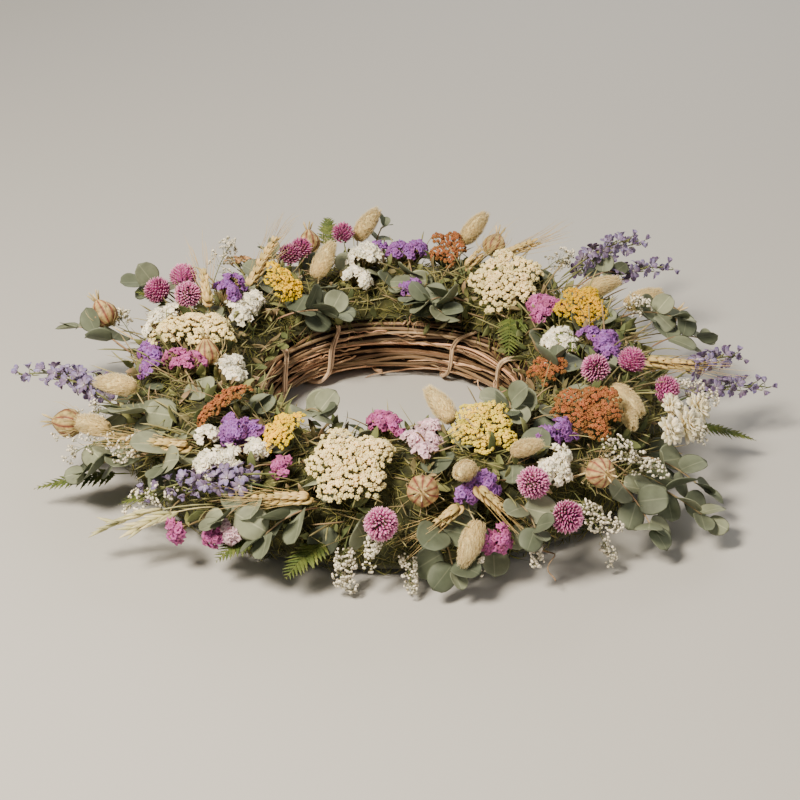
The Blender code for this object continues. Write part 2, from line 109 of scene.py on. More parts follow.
studio_lamp("key_lamp", place=(-0.8, -0.9, 1.6), size=0.5, watts=81.0, colour=(1.0, 0.88, 0.70))
studio_lamp("fill_lamp", place=(1.5, -1.0, 1.0), size=1.2, watts=6.0, colour=(1.0, 0.93, 0.85))
studio_lamp("back_lamp", place=(0.4, 1.6, 1.2), size=1.0, watts=14.0, colour=(1.0, 0.96, 0.9))

CAMERA_DISTANCE = 1.7
CAMERA_RISE = math.radians(28.0)
AIM_HEIGHT = 0.03
eye = bpy.data.cameras.new("studio_camera")
eye.lens, eye.sensor_width = 91.8, 36.0
eye.shift_x, eye.shift_y = 0.00875, 0.005
camera = bpy.data.objects.new("studio_camera", eye)
camera.location = (
    0.0,
    -CAMERA_DISTANCE * math.cos(CAMERA_RISE),
    AIM_HEIGHT + CAMERA_DISTANCE * math.sin(CAMERA_RISE),
)
camera.rotation_euler = (math.pi / 2 - CAMERA_RISE, 0.0, 0.0)
bpy.context.scene.collection.objects.link(camera)
bpy.context.scene.camera = camera

# ------------------------------------------------------------ vine ring
# Grapevine shoots, wound green into four bundles one over the other, which dry hard and red-brown. Each
# shoot swells at its joints and wanders a little, so the bundles look roped rather than turned.
SHOOT_STEPS = 190
SHOOT_CORNERS = 7
SHOOT_SWEEP = 372  # degrees: a shoot goes just past once round
SHOOT_JOINTS = 17
THIN_SHOOT, THICK_SHOOT = (0.0006, 0.0010), (0.0011, 0.0018)


def unit(ways):
    return ways / np.maximum(np.linalg.norm(ways, axis=-1, keepdims=True), 1e-12)


def on_ring(angle, radius, height):
    """Points at those angles in degrees, radii and heights, as one array."""
    angle, radius, height = np.broadcast_arrays(angle, radius, height)
    turn = np.radians(angle)
    return np.stack([radius * np.cos(turn), radius * np.sin(turn), height], axis=-1)


def drawn_out(paths, width_way, half_width, half_depth, corners, tone=None):
    """Closed shapes drawn along paths, an array (many, steps, 3).

    At each inner step an oval of `corners` points stands square across the path: its point at turn t is the
    path's point + half_width cos t along width_way + half_depth sin t square to both. The two end steps
    close it. Returns (points, triangles, along 0..1, across -1..1, tone 0..1), one tone for each path.
    """
    paths = np.asarray(paths, float)
    many, steps, _ = paths.shape
    along_way = unit(np.gradient(paths, axis=1))
    width_way = np.broadcast_to(width_way, paths.shape)
    side = unit(width_way - (width_way * along_way).sum(-1, keepdims=True) * along_way)
    top = np.cross(along_way, side)
    turn = 2 * np.pi * np.arange(corners) / corners
    wide = np.broadcast_to(half_width, (many, steps))[:, 1:-1, None, None]
    deep = np.broadcast_to(half_depth, (many, steps))[:, 1:-1, None, None]
    ovals = (
        paths[:, 1:-1, None]
        + wide * np.cos(turn)[:, None] * side[:, 1:-1, None]
        + deep * np.sin(turn)[:, None] * top[:, 1:-1, None]
    )
    rows = steps - 2
    points = np.concatenate([paths[:, :1], ovals.reshape(many, rows * corners, 3), paths[:, -1:]], axis=1)
    this = np.arange(corners)
    after = (this + 1) % corners
    row = 1 + corners * np.arange(rows - 1)[:, None]
    low, low_after, high, high_after = row + this, row + after, row + corners + this, row + corners + after
    walls = np.concatenate([
        np.stack([low, low_after, high_after], -1).reshape(-1, 3),
        np.stack([low, high_after, high], -1).reshape(-1, 3),
    ])
    last_row = 1 + corners * (rows - 1)
    base = np.stack([0 * this, 1 + after, 1 + this], -1)
    tip = np.stack([0 * this + 1 + corners * rows, last_row + this, last_row + after], -1)
    triangles = np.concatenate([walls, base, tip])
    per_path = points.shape[1]
    share = np.concatenate([[0.0], np.repeat(np.arange(1, steps - 1) / (steps - 1), corners), [1.0]])
    across = np.concatenate([[0.0], np.tile(np.cos(turn), rows), [0.0]])
    tone = chance.random(many) if tone is None else np.broadcast_to(tone, many)
    return (
        points.reshape(-1, 3),
        (triangles + per_path * np.arange(many)[:, None, None]).reshape(-1, 3),
        np.tile(share, many),
        np.tile(across, many),
        np.repeat(tone, per_path),
    )


def together(*shapes):
    """Several shapes as one, with each one's triangles counted on from the points before it."""
    starts = np.cumsum([0] + [len(shape[0]) for shape in shapes[:-1]])
    triangles = np.concatenate([shape[1] + start for shape, start in zip(shapes, starts)])
    points, along, across, tone = (np.concatenate([shape[k] for shape in shapes]) for k in (0, 2, 3, 4))
    return points, triangles, along, across, tone


LOWEST, LOW_BAND, HIGH_BAND = 0.0008, 0.006, 0.013


def grown(name, shape, finish, slot, *stands_for, body="wreath", eased=False):
    """The shape as a piece at the origin that rides on the body and stands for the named CAD nodes. Where
    it's eased, the parts below LOW_BAND sink ever more slowly towards LOWEST, and those above the CAD's top
    rise ever more slowly, by HIGH_BAND at most."""
    points, triangles, along, across, tone = shape
    if eased:
        points, height, top = points.copy(), points[:, 2], cad_box[1][2]
        low = LOWEST + (LOW_BAND - LOWEST) * np.exp((np.minimum(height, LOW_BAND) - LOW_BAND) / LOW_BAND)
        high = top + HIGH_BAND * (1 - np.exp((top - np.maximum(height, top)) / HIGH_BAND))
        points[:, 2] = np.where(height < LOW_BAND, low, np.where(height > top, high, height))
    mesh = bpy.data.meshes.new(name)
    mesh.vertices.add(len(points))
    mesh.vertices.foreach_set("co", points.astype(np.float32).ravel())
    mesh.loops.add(triangles.size)
    mesh.loops.foreach_set("vertex_index", triangles.astype(np.int32).ravel())
    mesh.polygons.add(len(triangles))
    mesh.polygons.foreach_set("loop_start", np.arange(0, triangles.size, 3, dtype=np.int32))
    mesh.polygons.foreach_set("use_smooth", np.full(len(triangles), True))
    for label, values in (("along", along), ("across", across), ("tone", tone)):
        mesh.attributes.new(label, "FLOAT", "POINT").data.foreach_set("value", values.astype(np.float32))
    mesh.update(calc_edges=True)
    mesh.materials.append(finish)
    piece = bpy.data.objects.new(name, mesh)
    bpy.context.scene.collection.objects.link(piece)
    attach(piece, body)
    if stands_for:
        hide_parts(*stands_for)
    return piece


def grown_each(names, made, finishes, slot, *stands_for, eased=()):
    """Pieces from a list of heads, each head a row of shapes: the first shapes of all the heads make the
    first piece, which alone stands for the CAD node, the second shapes make the second, and so on. Eased
    holds the numbers, from 0, of the pieces that are eased."""
    for number, shapes in enumerate(zip(*made)):
        nodes = stands_for if number == 0 else ()
        grown(names[number], together(*shapes), finishes[number], slot, *nodes, eased=number in eased)


def ranged(nodes, links, source, low, high, start=0.0, end=1.0):
    """A node's output that runs from low to high as the source goes from start to end."""
    scale = nodes.new("ShaderNodeMapRange")
    ends = {"From Min": start, "From Max": end, "To Min": low, "To Max": high}
    for label, value in ends.items():
        scale.inputs[label].default_value = value
    links.new(source, scale.inputs["Value"])
    return scale.outputs["Result"]


def worked(nodes, links, operation, source, other=None):
    """The output of a Math node on the source and, where one is given, another output or a number."""
    maths = nodes.new("ShaderNodeMath")
    maths.operation = operation
    links.new(source, maths.inputs[0])
    if isinstance(other, float):
        maths.inputs[1].default_value = other
    elif other is not None:
        links.new(other, maths.inputs[1])
    return maths.outputs["Value"]


def mottled_finish(
    name, colours, roughness=0.75, reads="along", tone_spread=0.25, hue_spread=0.02,
    mottle=(300.0, 0.2), grain=(900.0, 0.3), streaks=None, sheen=0.0, glow=0.0,
):
    """A natural skin or drawn wire: a run of colours over one of the shape's shares, (place, colour) each,
    made lighter or darker and a little warmer or cooler from one shoot, petal or leaf to the next by its
    tone, mottled by a coarse noise and roughened by a fine one. grain and mottle are (scale, strength).
    Streaks, (along, across), run the noises down each shoot instead of through space."""
    material = bpy.data.materials.new(name)
    material.use_nodes = True
    nodes, links = material.node_tree.nodes, material.node_tree.links
    shader = nodes["Principled BSDF"]
    shader.inputs["Roughness"].default_value = roughness
    shader.inputs["Specular IOR Level"].default_value = 0.3
    shader.inputs["Sheen Weight"].default_value = sheen
    shader.inputs["Subsurface Weight"].default_value = glow
    shader.inputs["Subsurface Radius"].default_value = (0.004, 0.003, 0.002)
    shader.inputs["Subsurface Scale"].default_value = 0.5

    def read(label):
        attribute = nodes.new("ShaderNodeAttribute")
        attribute.attribute_name = label
        return attribute.outputs["Fac"]

    run = nodes.new("ShaderNodeValToRGB")
    stops = run.color_ramp.elements
    while len(stops) < len(colours):
        stops.new(0.5)
    for stop, (place, colour) in zip(stops, colours):
        stop.position, stop.color = place, (*colour, 1.0)
    share = read(reads)
    links.new(worked(nodes, links, "ABSOLUTE", share) if reads == "across" else share, run.inputs["Fac"])
    place = nodes.new("ShaderNodeTexCoord").outputs["Object"]
    if streaks:
        joined = nodes.new("ShaderNodeCombineXYZ")
        scales = (("X", "along", streaks[0]), ("Y", "across", streaks[1]), ("Z", "tone", 40.0))
        for axis, label, times in scales:
            links.new(worked(nodes, links, "MULTIPLY", read(label), times), joined.inputs[axis])
        place = joined.outputs["Vector"]
    coarse, fine = nodes.new("ShaderNodeTexNoise"), nodes.new("ShaderNodeTexNoise")
    for noise, scale in ((coarse, mottle[0]), (fine, grain[0])):
        noise.inputs["Scale"].default_value = scale
        noise.inputs["Detail"].default_value = 3.0
        links.new(place, noise.inputs["Vector"])
    tone = read("tone")
    lightness = ranged(nodes, links, tone, 1.0 - tone_spread, 1.0 + tone_spread)
    patches = ranged(nodes, links, coarse.outputs["Fac"], 1.0 - mottle[1], 1.0 + mottle[1], 0.3, 0.7)
    value = worked(nodes, links, "MULTIPLY", lightness, patches)
    hue = ranged(nodes, links, tone, 0.5 + hue_spread, 0.5 - hue_spread)
    tint = nodes.new("ShaderNodeHueSaturation")
    links.new(run.outputs["Color"], tint.inputs["Color"])
    links.new(value, tint.inputs["Value"])
    links.new(hue, tint.inputs["Hue"])
    links.new(tint.outputs["Color"], shader.inputs["Base Color"])
    bump = nodes.new("ShaderNodeBump")
    bump.inputs["Strength"].default_value = grain[1]
    bump.inputs["Distance"].default_value = 0.0006
    links.new(fine.outputs["Fac"], bump.inputs["Height"])
    links.new(bump.outputs["Normal"], shader.inputs["Normal"])
    return material


def mesh_of(node):
    """A CAD node's corners, merged where they meet, and its triangles."""
    mesh = frame["nodes"][node].data
    spots = np.empty(len(mesh.vertices) * 3)
    mesh.vertices.foreach_get("co", spots)
    ends = np.empty(len(mesh.loops), int)
    mesh.loops.foreach_get("vertex_index", ends)
    _, first, same = np.unique(
        np.round(spots.reshape(-1, 3), 5), axis=0, return_index=True, return_inverse=True
    )
    return spots.reshape(-1, 3)[first], same.reshape(-1)[ends].reshape(-1, 3)


def reach_of(node):
    """Smallest and largest radius, then lowest and highest height, of a CAD node."""
    spots, _ = mesh_of(node)
    radius = np.hypot(spots[:, 0], spots[:, 1])
    return radius.min(), radius.max(), spots[:, 2].min(), spots[:, 2].max()


def wandering(many, steps, waves, size):
    """Slow wandering about zero: sines of 1 to `waves` waves with random phases, (many, steps)."""
    place = np.linspace(0.0, 2 * np.pi, steps)
    total = np.zeros((many, steps))
    for wave in range(1, waves + 1):
        phase, share = chance.uniform(0, 2 * np.pi, (2, many, 1))
        total += np.cos(share) * np.sin(wave * place + phase) / np.sqrt(waves)
    return total * size


def vine_shoots(bundle, shoots):
    """Shoots wound round a bundle: each keeps near the bundle's oval edge, or a chosen share of the way in,
    while it turns slowly about it."""
    inner, outer, low, high = reach_of(bundle)
    thin = np.arange(shoots) % 4 == 1
    thick = np.where(thin, chance.uniform(*THIN_SHOOT, shoots), chance.uniform(*THICK_SHOOT, shoots))[:, None]
    start = chance.uniform(0, 360, shoots)[:, None]
    sweep = np.linspace(0, SHOOT_SWEEP, SHOOT_STEPS)
    turn = 2 * np.pi * (np.arange(shoots)[:, None] + 0.7 * chance.random((shoots, 1))) / shoots
    turn = turn + np.radians(start + sweep) * 0.25 + wandering(shoots, SHOOT_STEPS, 6, 0.4)
    ends = np.clip(np.minimum(sweep, SHOOT_SWEEP - sweep) / 8, 0, 1) ** 0.6
    depth = np.array([0.98, 0.90, 0.99, 0.72])[np.arange(shoots) % 4][:, None] * (0.8 + 0.2 * ends)
    depth = depth * (1 + wandering(shoots, SHOOT_STEPS, 12, 0.035))
    paths = on_ring(
        start + sweep,
        (inner + outer) / 2 + ((outer - inner) / 2 - thick) * depth * np.cos(turn),
        (low + high) / 2 + ((high - low) / 2 - thick) * depth * np.sin(turn),
    )
    joints = np.clip(np.cos(sweep / SHOOT_SWEEP * 2 * np.pi * SHOOT_JOINTS + start) - 0.95, 0, 1) * 5
    girth = thick * (0.88 + 0.1 * ends + joints + wandering(shoots, SHOOT_STEPS, 40, 0.07))
    return drawn_out(paths, (0, 0, 1), girth, girth * 0.85, SHOOT_CORNERS)


vine_finish = mottled_finish(
    "vine_bark",
    [(0.0, (0.36, 0.20, 0.105)), (0.3, (0.58, 0.36, 0.205)), (0.6, (0.18, 0.09, 0.048)),
     (0.8, (0.66, 0.45, 0.27)), (1.0, (0.34, 0.19, 0.10))],
    roughness=0.42, tone_spread=0.75, hue_spread=0.012,
    mottle=(0.9, 0.35), grain=(3.0, 0.6), streaks=(60.0, 2.6),
)
# Near black all over: painted shade in the bundles' middles, between the shoots.
vine_shade_finish = mottled_finish(
    "vine_shade", [(0.0, (0.02, 0.009, 0.005)), (1.0, (0.02, 0.009, 0.005))], roughness=0.95,
)
BUNDLES = {
    "vine_hoop_inner_low": 25,
    "vine_hoop_inner_high": 25,
    "vine_hoop_outer_low": 19,
    "vine_hoop_outer_high": 19,
}
for bundle, shoots in BUNDLES.items():
    grown(bundle.replace("hoop", "shoots"), vine_shoots(bundle, shoots), vine_finish, "vine_bark", bundle)


def stray_shoots(many, longest):
    """Thin shoots that leave the inner bundles' inner side, bow into the ring's opening and come back."""
    inner, _, low, _ = reach_of("vine_hoop_inner_low")
    high = reach_of("vine_hoop_inner_high")[3]
    steps = np.linspace(0, 1, 24)
    start, reach = chance.uniform(0, 360, (many, 1)), chance.uniform(0.3, 1.0, (many, 1)) * longest
    height = chance.uniform(low + 0.003, high - 0.002, (many, 1)) + chance.normal(0, 0.005, (many, 1)) * steps
    bow = chance.uniform(0.0004, 0.0035, (many, 1)) * np.sin(np.pi * steps) + wandering(many, 24, 5, 0.0007)
    paths = on_ring(start + reach * steps, inner + 0.0022 - bow, height + wandering(many, 24, 5, 0.0008))
    girth = chance.uniform(0.0004, 0.0011, (many, 1)) * (1 - 0.5 * steps)
    return drawn_out(paths, (0, 0, 1), girth, girth, 5)


grown("vine_stray_shoots", stray_shoots(90, 46.0), vine_finish, "vine_bark")


BURIED_SHARE = 0.74


def buried_shoots(bundle):
    """The shoots in the middle of a bundle, as one ring coloured near black for painted shade among them: an
    oval of BURIED_SHARE of its half sizes.
    """
    inner, outer, low, high = reach_of(bundle)
    turn = np.linspace(0, 362, 90)
    path = on_ring(turn, (inner + outer) / 2, (low + high) / 2)
    half_high, half_wide = BURIED_SHARE / 2 * (high - low), BURIED_SHARE / 2 * (outer - inner)
    return drawn_out(path[None], (0, 0, 1), half_high, half_wide, 10, tone=0.5)


buried = together(*[buried_shoots(bundle) for bundle in BUNDLES])
grown("vine_buried_shoots", buried, vine_shade_finish, "vine_bark")

# ------------------------------------------------------------ binding vine
# Thinner, paler vine, three shoots side by side, wound round the inner bundles to hold them. There are
# three lengths, each a third of the way round.
WRAPS, BINDING_LENGTHS, WRAP_START = 12, 3, 95.0
WRAP_STEPS = 40


def binding(number):
    """Three thin shoots side by side on a rounded-square winding: radius and height are the bundles' middle
    plus their half sizes, with the shoot's own, times the signed roots of the cosine and sine of the turn.
    The shoots change places slowly."""
    inner, outer, low, _ = reach_of("vine_hoop_inner_low")
    high = reach_of("vine_hoop_inner_high")[3]
    turns = WRAPS / BINDING_LENGTHS - 10.0 / (360.0 / WRAPS)
    sweep = np.linspace(0, turns, int(turns * WRAP_STEPS))
    angle = WRAP_START + (number - 1) * 360 / BINDING_LENGTHS + sweep * 360 / WRAPS
    turn = np.pi * 1.25 + 2 * np.pi * sweep
    thick = np.array([[0.0013], [0.0012], [0.0008]])
    wide = np.sign(np.cos(turn)) * np.abs(np.cos(turn)) ** 0.42
    tall = np.sign(np.sin(turn)) * np.abs(np.sin(turn)) ** 0.42
    apart = np.array([[-0.62], [0.62], [0.0]]) + 0.5 * np.cos(sweep * 2.6 + np.array([[0.0], [2.1], [4.2]]))
    lift = np.array([[0.0], [0.0], [0.0016]])
    paths = on_ring(
        angle + apart + wandering(3, len(sweep), 14, 0.25),
        (inner + outer) / 2 + ((outer - inner) / 2 + thick * 0.7 + lift) * wide,
        (low + high) / 2 + ((high - low) / 2 + thick * 0.7 + lift) * tall,
    )
    girth = thick * (1 + wandering(3, len(sweep), 40, 0.15))
    return drawn_out(paths, (0.3, 0.2, 1), girth, girth * 0.8, 7)


binding_finish = mottled_finish(
    "binding_bark", [(0.0, (0.52, 0.37, 0.22)), (0.5, (0.66, 0.50, 0.32)), (1.0, (0.46, 0.31, 0.18))],
    roughness=0.65, tone_spread=0.3, mottle=(0.8, 0.45), grain=(3.0, 1.0), streaks=(70.0, 1.6),
)
for number in range(1, BINDING_LENGTHS + 1):
    node = f"binding_vine_{number}"
    grown(f"binding_shoots_{number}", binding(number), binding_finish, "binding_bark", node)

# ------------------------------------------------------------ hanger
# A steel wire eye, held by a loop round the outer bundle at the top, and a bent D-shaped steel ring
# that swings in it.
steel = mottled_finish(
    "hanger_steel",
    [(0.0, (0.40, 0.40, 0.41)), (0.5, (0.52, 0.52, 0.53)), (1.0, (0.44, 0.43, 0.42))],
    roughness=0.34, tone_spread=0.05, hue_spread=0.0, mottle=(450.0, 0.2), grain=(1800.0, 0.15),
)
steel.node_tree.nodes["Principled BSDF"].inputs["Metallic"].default_value = 1.0
hanger_outer = reach_of("hanger_eye")[1]
hinge = np.array(frame["joints"][0]["pos_m"])
ring_low, ring_high = (np.array(corner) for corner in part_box("hanger_ring"))


def rounded(points, times):
    """The points of a closed line, with its corners cut `times` times at a quarter and three quarters."""
    points = np.asarray(points, float)
    for _ in range(times):
        after = np.roll(points, -1, axis=0)
        points = np.stack([0.75 * points + 0.25 * after, 0.25 * points + 0.75 * after], 1).reshape(-1, 3)
    return points


def wire_loop(points, girth):
    """A round wire along a closed line; its two ends meet inside it."""
    closed = np.concatenate([points, points[:2]])
    return drawn_out(closed[None], (0.05, 0.1, 1.0), girth, girth, 10, tone=0.5)


ring_wire = (ring_high[2] - ring_low[2]) / 2
half_ring, ring_end = ring_high[0] - ring_wire, ring_high[1] - ring_wire
ring_shape = rounded(
    [(-half_ring, hinge[1], hinge[2]), (half_ring, hinge[1], hinge[2]),
     (half_ring, ring_end - 0.004, hinge[2]), (half_ring * 0.55, ring_end, hinge[2]),
     (-half_ring * 0.55, ring_end, hinge[2]), (-half_ring, ring_end - 0.004, hinge[2])], 3,
)
grown("hanging_ring", wire_loop(ring_shape, ring_wire), steel, "steel", "hanger_ring", body="hanger")
EYE_WIRE = 0.0008
eye_turn = np.linspace(0, 2 * np.pi, 24, endpoint=False)
eye_radius = hanger_outer - EYE_WIRE - hinge[1]
eye_line = np.stack([
    0 * eye_turn, hinge[1] + eye_radius * np.cos(eye_turn), hinge[2] + eye_radius * np.sin(eye_turn),
], -1)
bundle_inner, bundle_outer, bundle_low, bundle_top = reach_of("vine_hoop_outer_high")
clear = EYE_WIRE + 0.0003
round_bundle = rounded(
    [(0, bundle_outer + clear, bundle_low - clear), (0, bundle_outer + clear, bundle_top + clear),
     (0, bundle_inner - clear, bundle_top + clear), (0, bundle_inner - clear, bundle_low - clear)], 3,
)
tail_line = np.linspace(
    (0, bundle_outer + clear, bundle_low + 0.002), (0, hinge[1] - eye_radius, hinge[2]), 6,
)
grown(
    "hanger_wire",
    together(wire_loop(eye_line, EYE_WIRE), wire_loop(round_bundle, EYE_WIRE),
             drawn_out(tail_line[None], (1, 0, 0), EYE_WIRE * 1.2, EYE_WIRE * 1.2, 8, tone=0.5)),
    steel, "steel", "hanger_eye",
)

# ------------------------------------------------------------ moss
# Dried sheet moss laid over the vines and glued: a lumpy olive bed, with thousands of fine curled strands.
SETBACK = 0.0176  # from the outer bundle's outside in to the middle line of the moss's section
BED_MIDDLE_HEIGHT = 0.020
moss_inner, moss_outer, moss_skirt, moss_top = reach_of("moss_collar")
bed_radius = bundle_outer - SETBACK
bed_half_width, bed_half_height = moss_outer - bed_radius, moss_top - BED_MIDDLE_HEIGHT


def planted(angle, slope, rise):
    """Places by degrees round the ring, degrees up round the moss's section, and millimetres off it."""
    turn = np.radians(slope)
    lift = np.asarray(rise) / 1000
    return on_ring(
        angle,
        bed_radius + (bed_half_width + lift) * np.cos(turn),
        BED_MIDDLE_HEIGHT + (bed_half_height + lift) * np.sin(turn),
    )


def off_moss(angle, slope):
    """Directions straight off the moss at those places."""
    return unit(planted(angle, slope, 10.0) - planted(angle, slope, 0.0))


def moss_bed():
    """A closed ring: round it, the section runs up and over the outside in an arc and back along the vines,
    pushed out by slow wandering in both directions."""
    turns, arc_steps = 240, 26
    angle = np.linspace(0, 360, turns, endpoint=False)[:, None]
    outer_end = math.degrees(math.asin((moss_skirt - BED_MIDDLE_HEIGHT) / bed_half_height))
    vine_top = reach_of("binding_vine_1")[3]
    inner_end = 180 - math.degrees(math.asin((vine_top - BED_MIDDLE_HEIGHT) / bed_half_height))
    slope = np.linspace(inner_end, outer_end, arc_steps)[None]
    lumps = wandering(1, turns, 40, 1.6).T * np.sin(np.radians(slope * 3)) + wandering(1, turns, 60, 1.3).T
    outside = planted(angle, slope, lumps * np.sin(np.linspace(0, np.pi, arc_steps)) - 0.6)
    wall = bundle_outer + 0.003
    inside = on_ring(angle, np.array([[wall, wall, bed_radius, moss_inner]]),
                     np.array([[moss_skirt, vine_top, vine_top + 0.0005, vine_top + 0.0002]]))
    section = np.concatenate([outside, inside], axis=1)
    around, down = section.shape[:2]
    number = np.arange(around * down).reshape(around, down)
    right, below = np.roll(number, -1, axis=0), np.roll(number, -1, axis=1)
    corner = np.roll(right, -1, axis=1)
    triangles = np.concatenate([
        np.stack([number, below, corner], -1).reshape(-1, 3),
        np.stack([number, corner, right], -1).reshape(-1, 3),
    ])
    flat = np.zeros(around * down)
    return section.reshape(-1, 3), triangles, flat, flat, chance.random(around * down)


# Near black: the moss's own olive, darkened further as painted shade under the strands.
moss_bed_finish = mottled_finish(
    "moss_bed", [(0.0, (0.04, 0.042, 0.012)), (1.0, (0.04, 0.042, 0.012))],
    roughness=0.95, tone_spread=0.4, mottle=(120.0, 0.6), grain=(500.0, 1.0), sheen=0.2,
)
grown("moss_bed", moss_bed(), moss_bed_finish, "moss", "moss_collar")


def moss_strands(start, out):
    """Fine strands: each starts in the bed, leans along it and curls, its line the start + a straight run
    + a sideways swing that grows with the square of the way along."""
    many = len(start)
    lean = unit(chance.normal(size=(many, 3)))
    lean = unit(lean - (lean * out).sum(-1, keepdims=True) * out * 0.8)
    swing = np.cross(lean, out)
    way = np.linspace(0, 1, 5)[None, :, None]
    length = chance.uniform(0.006, 0.015, (many, 1, 1))
    curl = chance.normal(0, 1.1, (many, 1, 1))
    lift = chance.uniform(0.1, 0.7, (many, 1, 1))
    paths = start[:, None] + length * (
        lean[:, None] * way + out[:, None] * lift * way * (1.25 - way) + swing[:, None] * curl * way ** 2
    )
    girth = chance.uniform(0.00022, 0.00048, (many, 1)) * np.array([1, 1.1, 1.05, 0.8, 0.3])
    return drawn_out(paths, out[:, None], girth, girth, 3)


moss_finish = mottled_finish(
    "moss_strands", [(0.0, (0.035, 0.037, 0.010)), (0.5, (0.145, 0.15, 0.032)), (1.0, (0.36, 0.34, 0.085))],
    roughness=0.85, tone_spread=0.55, hue_spread=0.035, mottle=(25.0, 0.35), grain=(900.0, 0.2), sheen=0.15,
)
STRANDS = {"outside": (7000, (-14, 75)), "inside": (4700, (75, 146))}
STRANDS_UNDER, UNDER_MARGIN = 1700, 0.008
for side_name, (many, slopes) in STRANDS.items():
    angle, slope = chance.uniform(0, 360, many), chance.uniform(*slopes, many)
    strands = moss_strands(planted(angle, slope, -1.5), off_moss(angle, slope))
    grown(f"moss_strands_{side_name}", strands, moss_finish, "moss", eased=True)
under = on_ring(
    chance.uniform(0, 360, STRANDS_UNDER),
    chance.uniform(bundle_outer + UNDER_MARGIN, moss_outer - UNDER_MARGIN, STRANDS_UNDER),
    moss_skirt + 0.0006,
)
hanging = moss_strands(under, np.tile((0, 0, -1.0), (STRANDS_UNDER, 1)))
grown("moss_strands_under", hanging, moss_finish, "moss", eased=True)

# ------------------------------------------------------------ yarrow heads
# Flat-topped heads of cream, gold and rust yarrow. Each is several small domes of tight round florets on
# stiff greenish stems that branch from one stalk; the edge is lobed, with painted shade in the gaps between
# domes.


def turned(profile, corners, lobes=0, depth=0.0, twist=0.0):
    """A closed shape turned about +Z from one pole to the other. Each (radius, height) between the first and
    last becomes a ring: at turn t its radius is the profile's x (1 + depth cos(lobes t))."""
    profile = np.asarray(profile, float)
    rows = len(profile) - 2
    turn = 2 * np.pi * np.arange(corners) / corners
    ribs = 1 + depth * np.cos(lobes * turn)
    swirl = turn + twist * np.arange(rows)[:, None]
    radius = profile[1:-1, :1] * ribs
    height = np.broadcast_to(profile[1:-1, 1:], radius.shape)
    rings = np.stack([radius * np.cos(swirl), radius * np.sin(swirl), height], -1).reshape(-1, 3)
    points = np.concatenate([[(0, 0, profile[0, 1])], rings, [(0, 0, profile[-1, 1])]])
    this = np.arange(corners)
    after = (this + 1) % corners
    row = 1 + corners * np.arange(rows - 1)[:, None]
    walls = np.concatenate([
        np.stack([row + this, row + after, row + corners + after], -1).reshape(-1, 3),
        np.stack([row + this, row + corners + after, row + corners + this], -1).reshape(-1, 3),
    ])
    last_row = 1 + corners * (rows - 1)
    base = np.stack([0 * this, 1 + after, 1 + this], -1)
    tip = np.stack([0 * this + 1 + corners * rows, last_row + this, last_row + after], -1)
    along = np.concatenate([[0.0], np.repeat(np.arange(1, rows + 1) / (rows + 1), corners), [1.0]])
    across = np.concatenate([[0.0], np.tile(np.cos(lobes * turn), rows), [0.0]])
    return points, np.concatenate([walls, base, tip]), along, across, np.zeros(len(points))


def strewn(shape, centres, ways, sizes, faces=None, tone=None):
    """Copies of a small shape, one at each centre, its +Z along each way and its +Y towards each face
    direction, or turned by chance where none is given. Sizes are one number each, or three."""
    points, triangles, along, across, _ = shape
    centres = np.atleast_2d(centres)
    many = len(centres)
    ways = unit(np.broadcast_to(ways, (many, 3)))
    faces = chance.normal(size=(many, 3)) if faces is None else np.broadcast_to(faces, (many, 3))
    side = unit(np.cross(faces, ways))
    frames = np.stack([side, np.cross(ways, side), ways], axis=-1)
    if np.ndim(sizes) < 2:
        sizes = np.asarray(sizes, float).reshape(-1, 1)
    sizes = np.broadcast_to(sizes, (many, 3))
    placed = centres[:, None] + np.einsum("nij,npj->npi", frames, points[None] * sizes[:, None])
    tone = chance.random(many) if tone is None else np.broadcast_to(tone, many)
    return (
        placed.reshape(-1, 3),
        (triangles + len(points) * np.arange(many)[:, None, None]).reshape(-1, 3),
        np.tile(along, many),
        np.tile(across, many),
        np.repeat(tone, len(points)),
    )


def stalk(starts, ends, girth, bow=0.0, steps=6, corners=5, tone=None):
    """Round stems from starts to ends, bowed sideways: the straight run + bow x 4 s (1 - s)."""
    starts, ends = np.atleast_2d(starts), np.atleast_2d(ends)
    way = np.linspace(0, 1, steps)[None, :, None]
    bow = np.broadcast_to(bow, starts.shape)[:, None]
    paths = starts[:, None] * (1 - way) + ends[:, None] * way + bow * 4 * way * (1 - way)
    taper = np.asarray(girth, float).reshape(-1, 1) * np.linspace(1, 0.7, steps)
    return drawn_out(paths, (0.31, 0.17, 0.93), taper, taper, corners, tone)


def root_of(spots):
    """The CAD corner that is deepest in the moss."""
    radius = np.hypot(spots[:, 0], spots[:, 1])
    height = spots[:, 2] - BED_MIDDLE_HEIGHT
    deep = np.hypot((radius - bed_radius) / bed_half_width, height / bed_half_height)
    return spots[deep.argmin()]


def thick_corners(spots):
    """The corners that don't stand in one of a stem's small rings."""
    close = np.linalg.norm(spots[:, None] - spots, axis=-1) < 0.0026
    return spots[close.sum(1) < 5]


def flat_head_of(node):
    """A yarrow node's middle of the top, direction, radius and root: its thick corners are flattest along
    the head's own direction, and lie 0.125 of its radius below the top on average."""
    spots, _ = mesh_of(node)
    root = root_of(spots)
    head = thick_corners(spots)
    middle = head.mean(0)
    _, _, axes = np.linalg.svd(head - middle)
    way = axes[2] * np.sign(axes[2][2])
    apart = head - middle
    radius = np.linalg.norm(apart - (apart @ way)[:, None] * way, axis=1).max()
    return middle + way * 0.125 * radius, way, radius, root


def flat_axes(way):
    """Two directions square to the way and to each other."""
    side = unit(np.cross(way, (0.31, 0.17, 0.93)))
    return side, np.cross(way, side)


BEAD = turned([(0, -0.6), (0.95, -0.05), (0.66, 0.7), (0, 1.0)], 5)


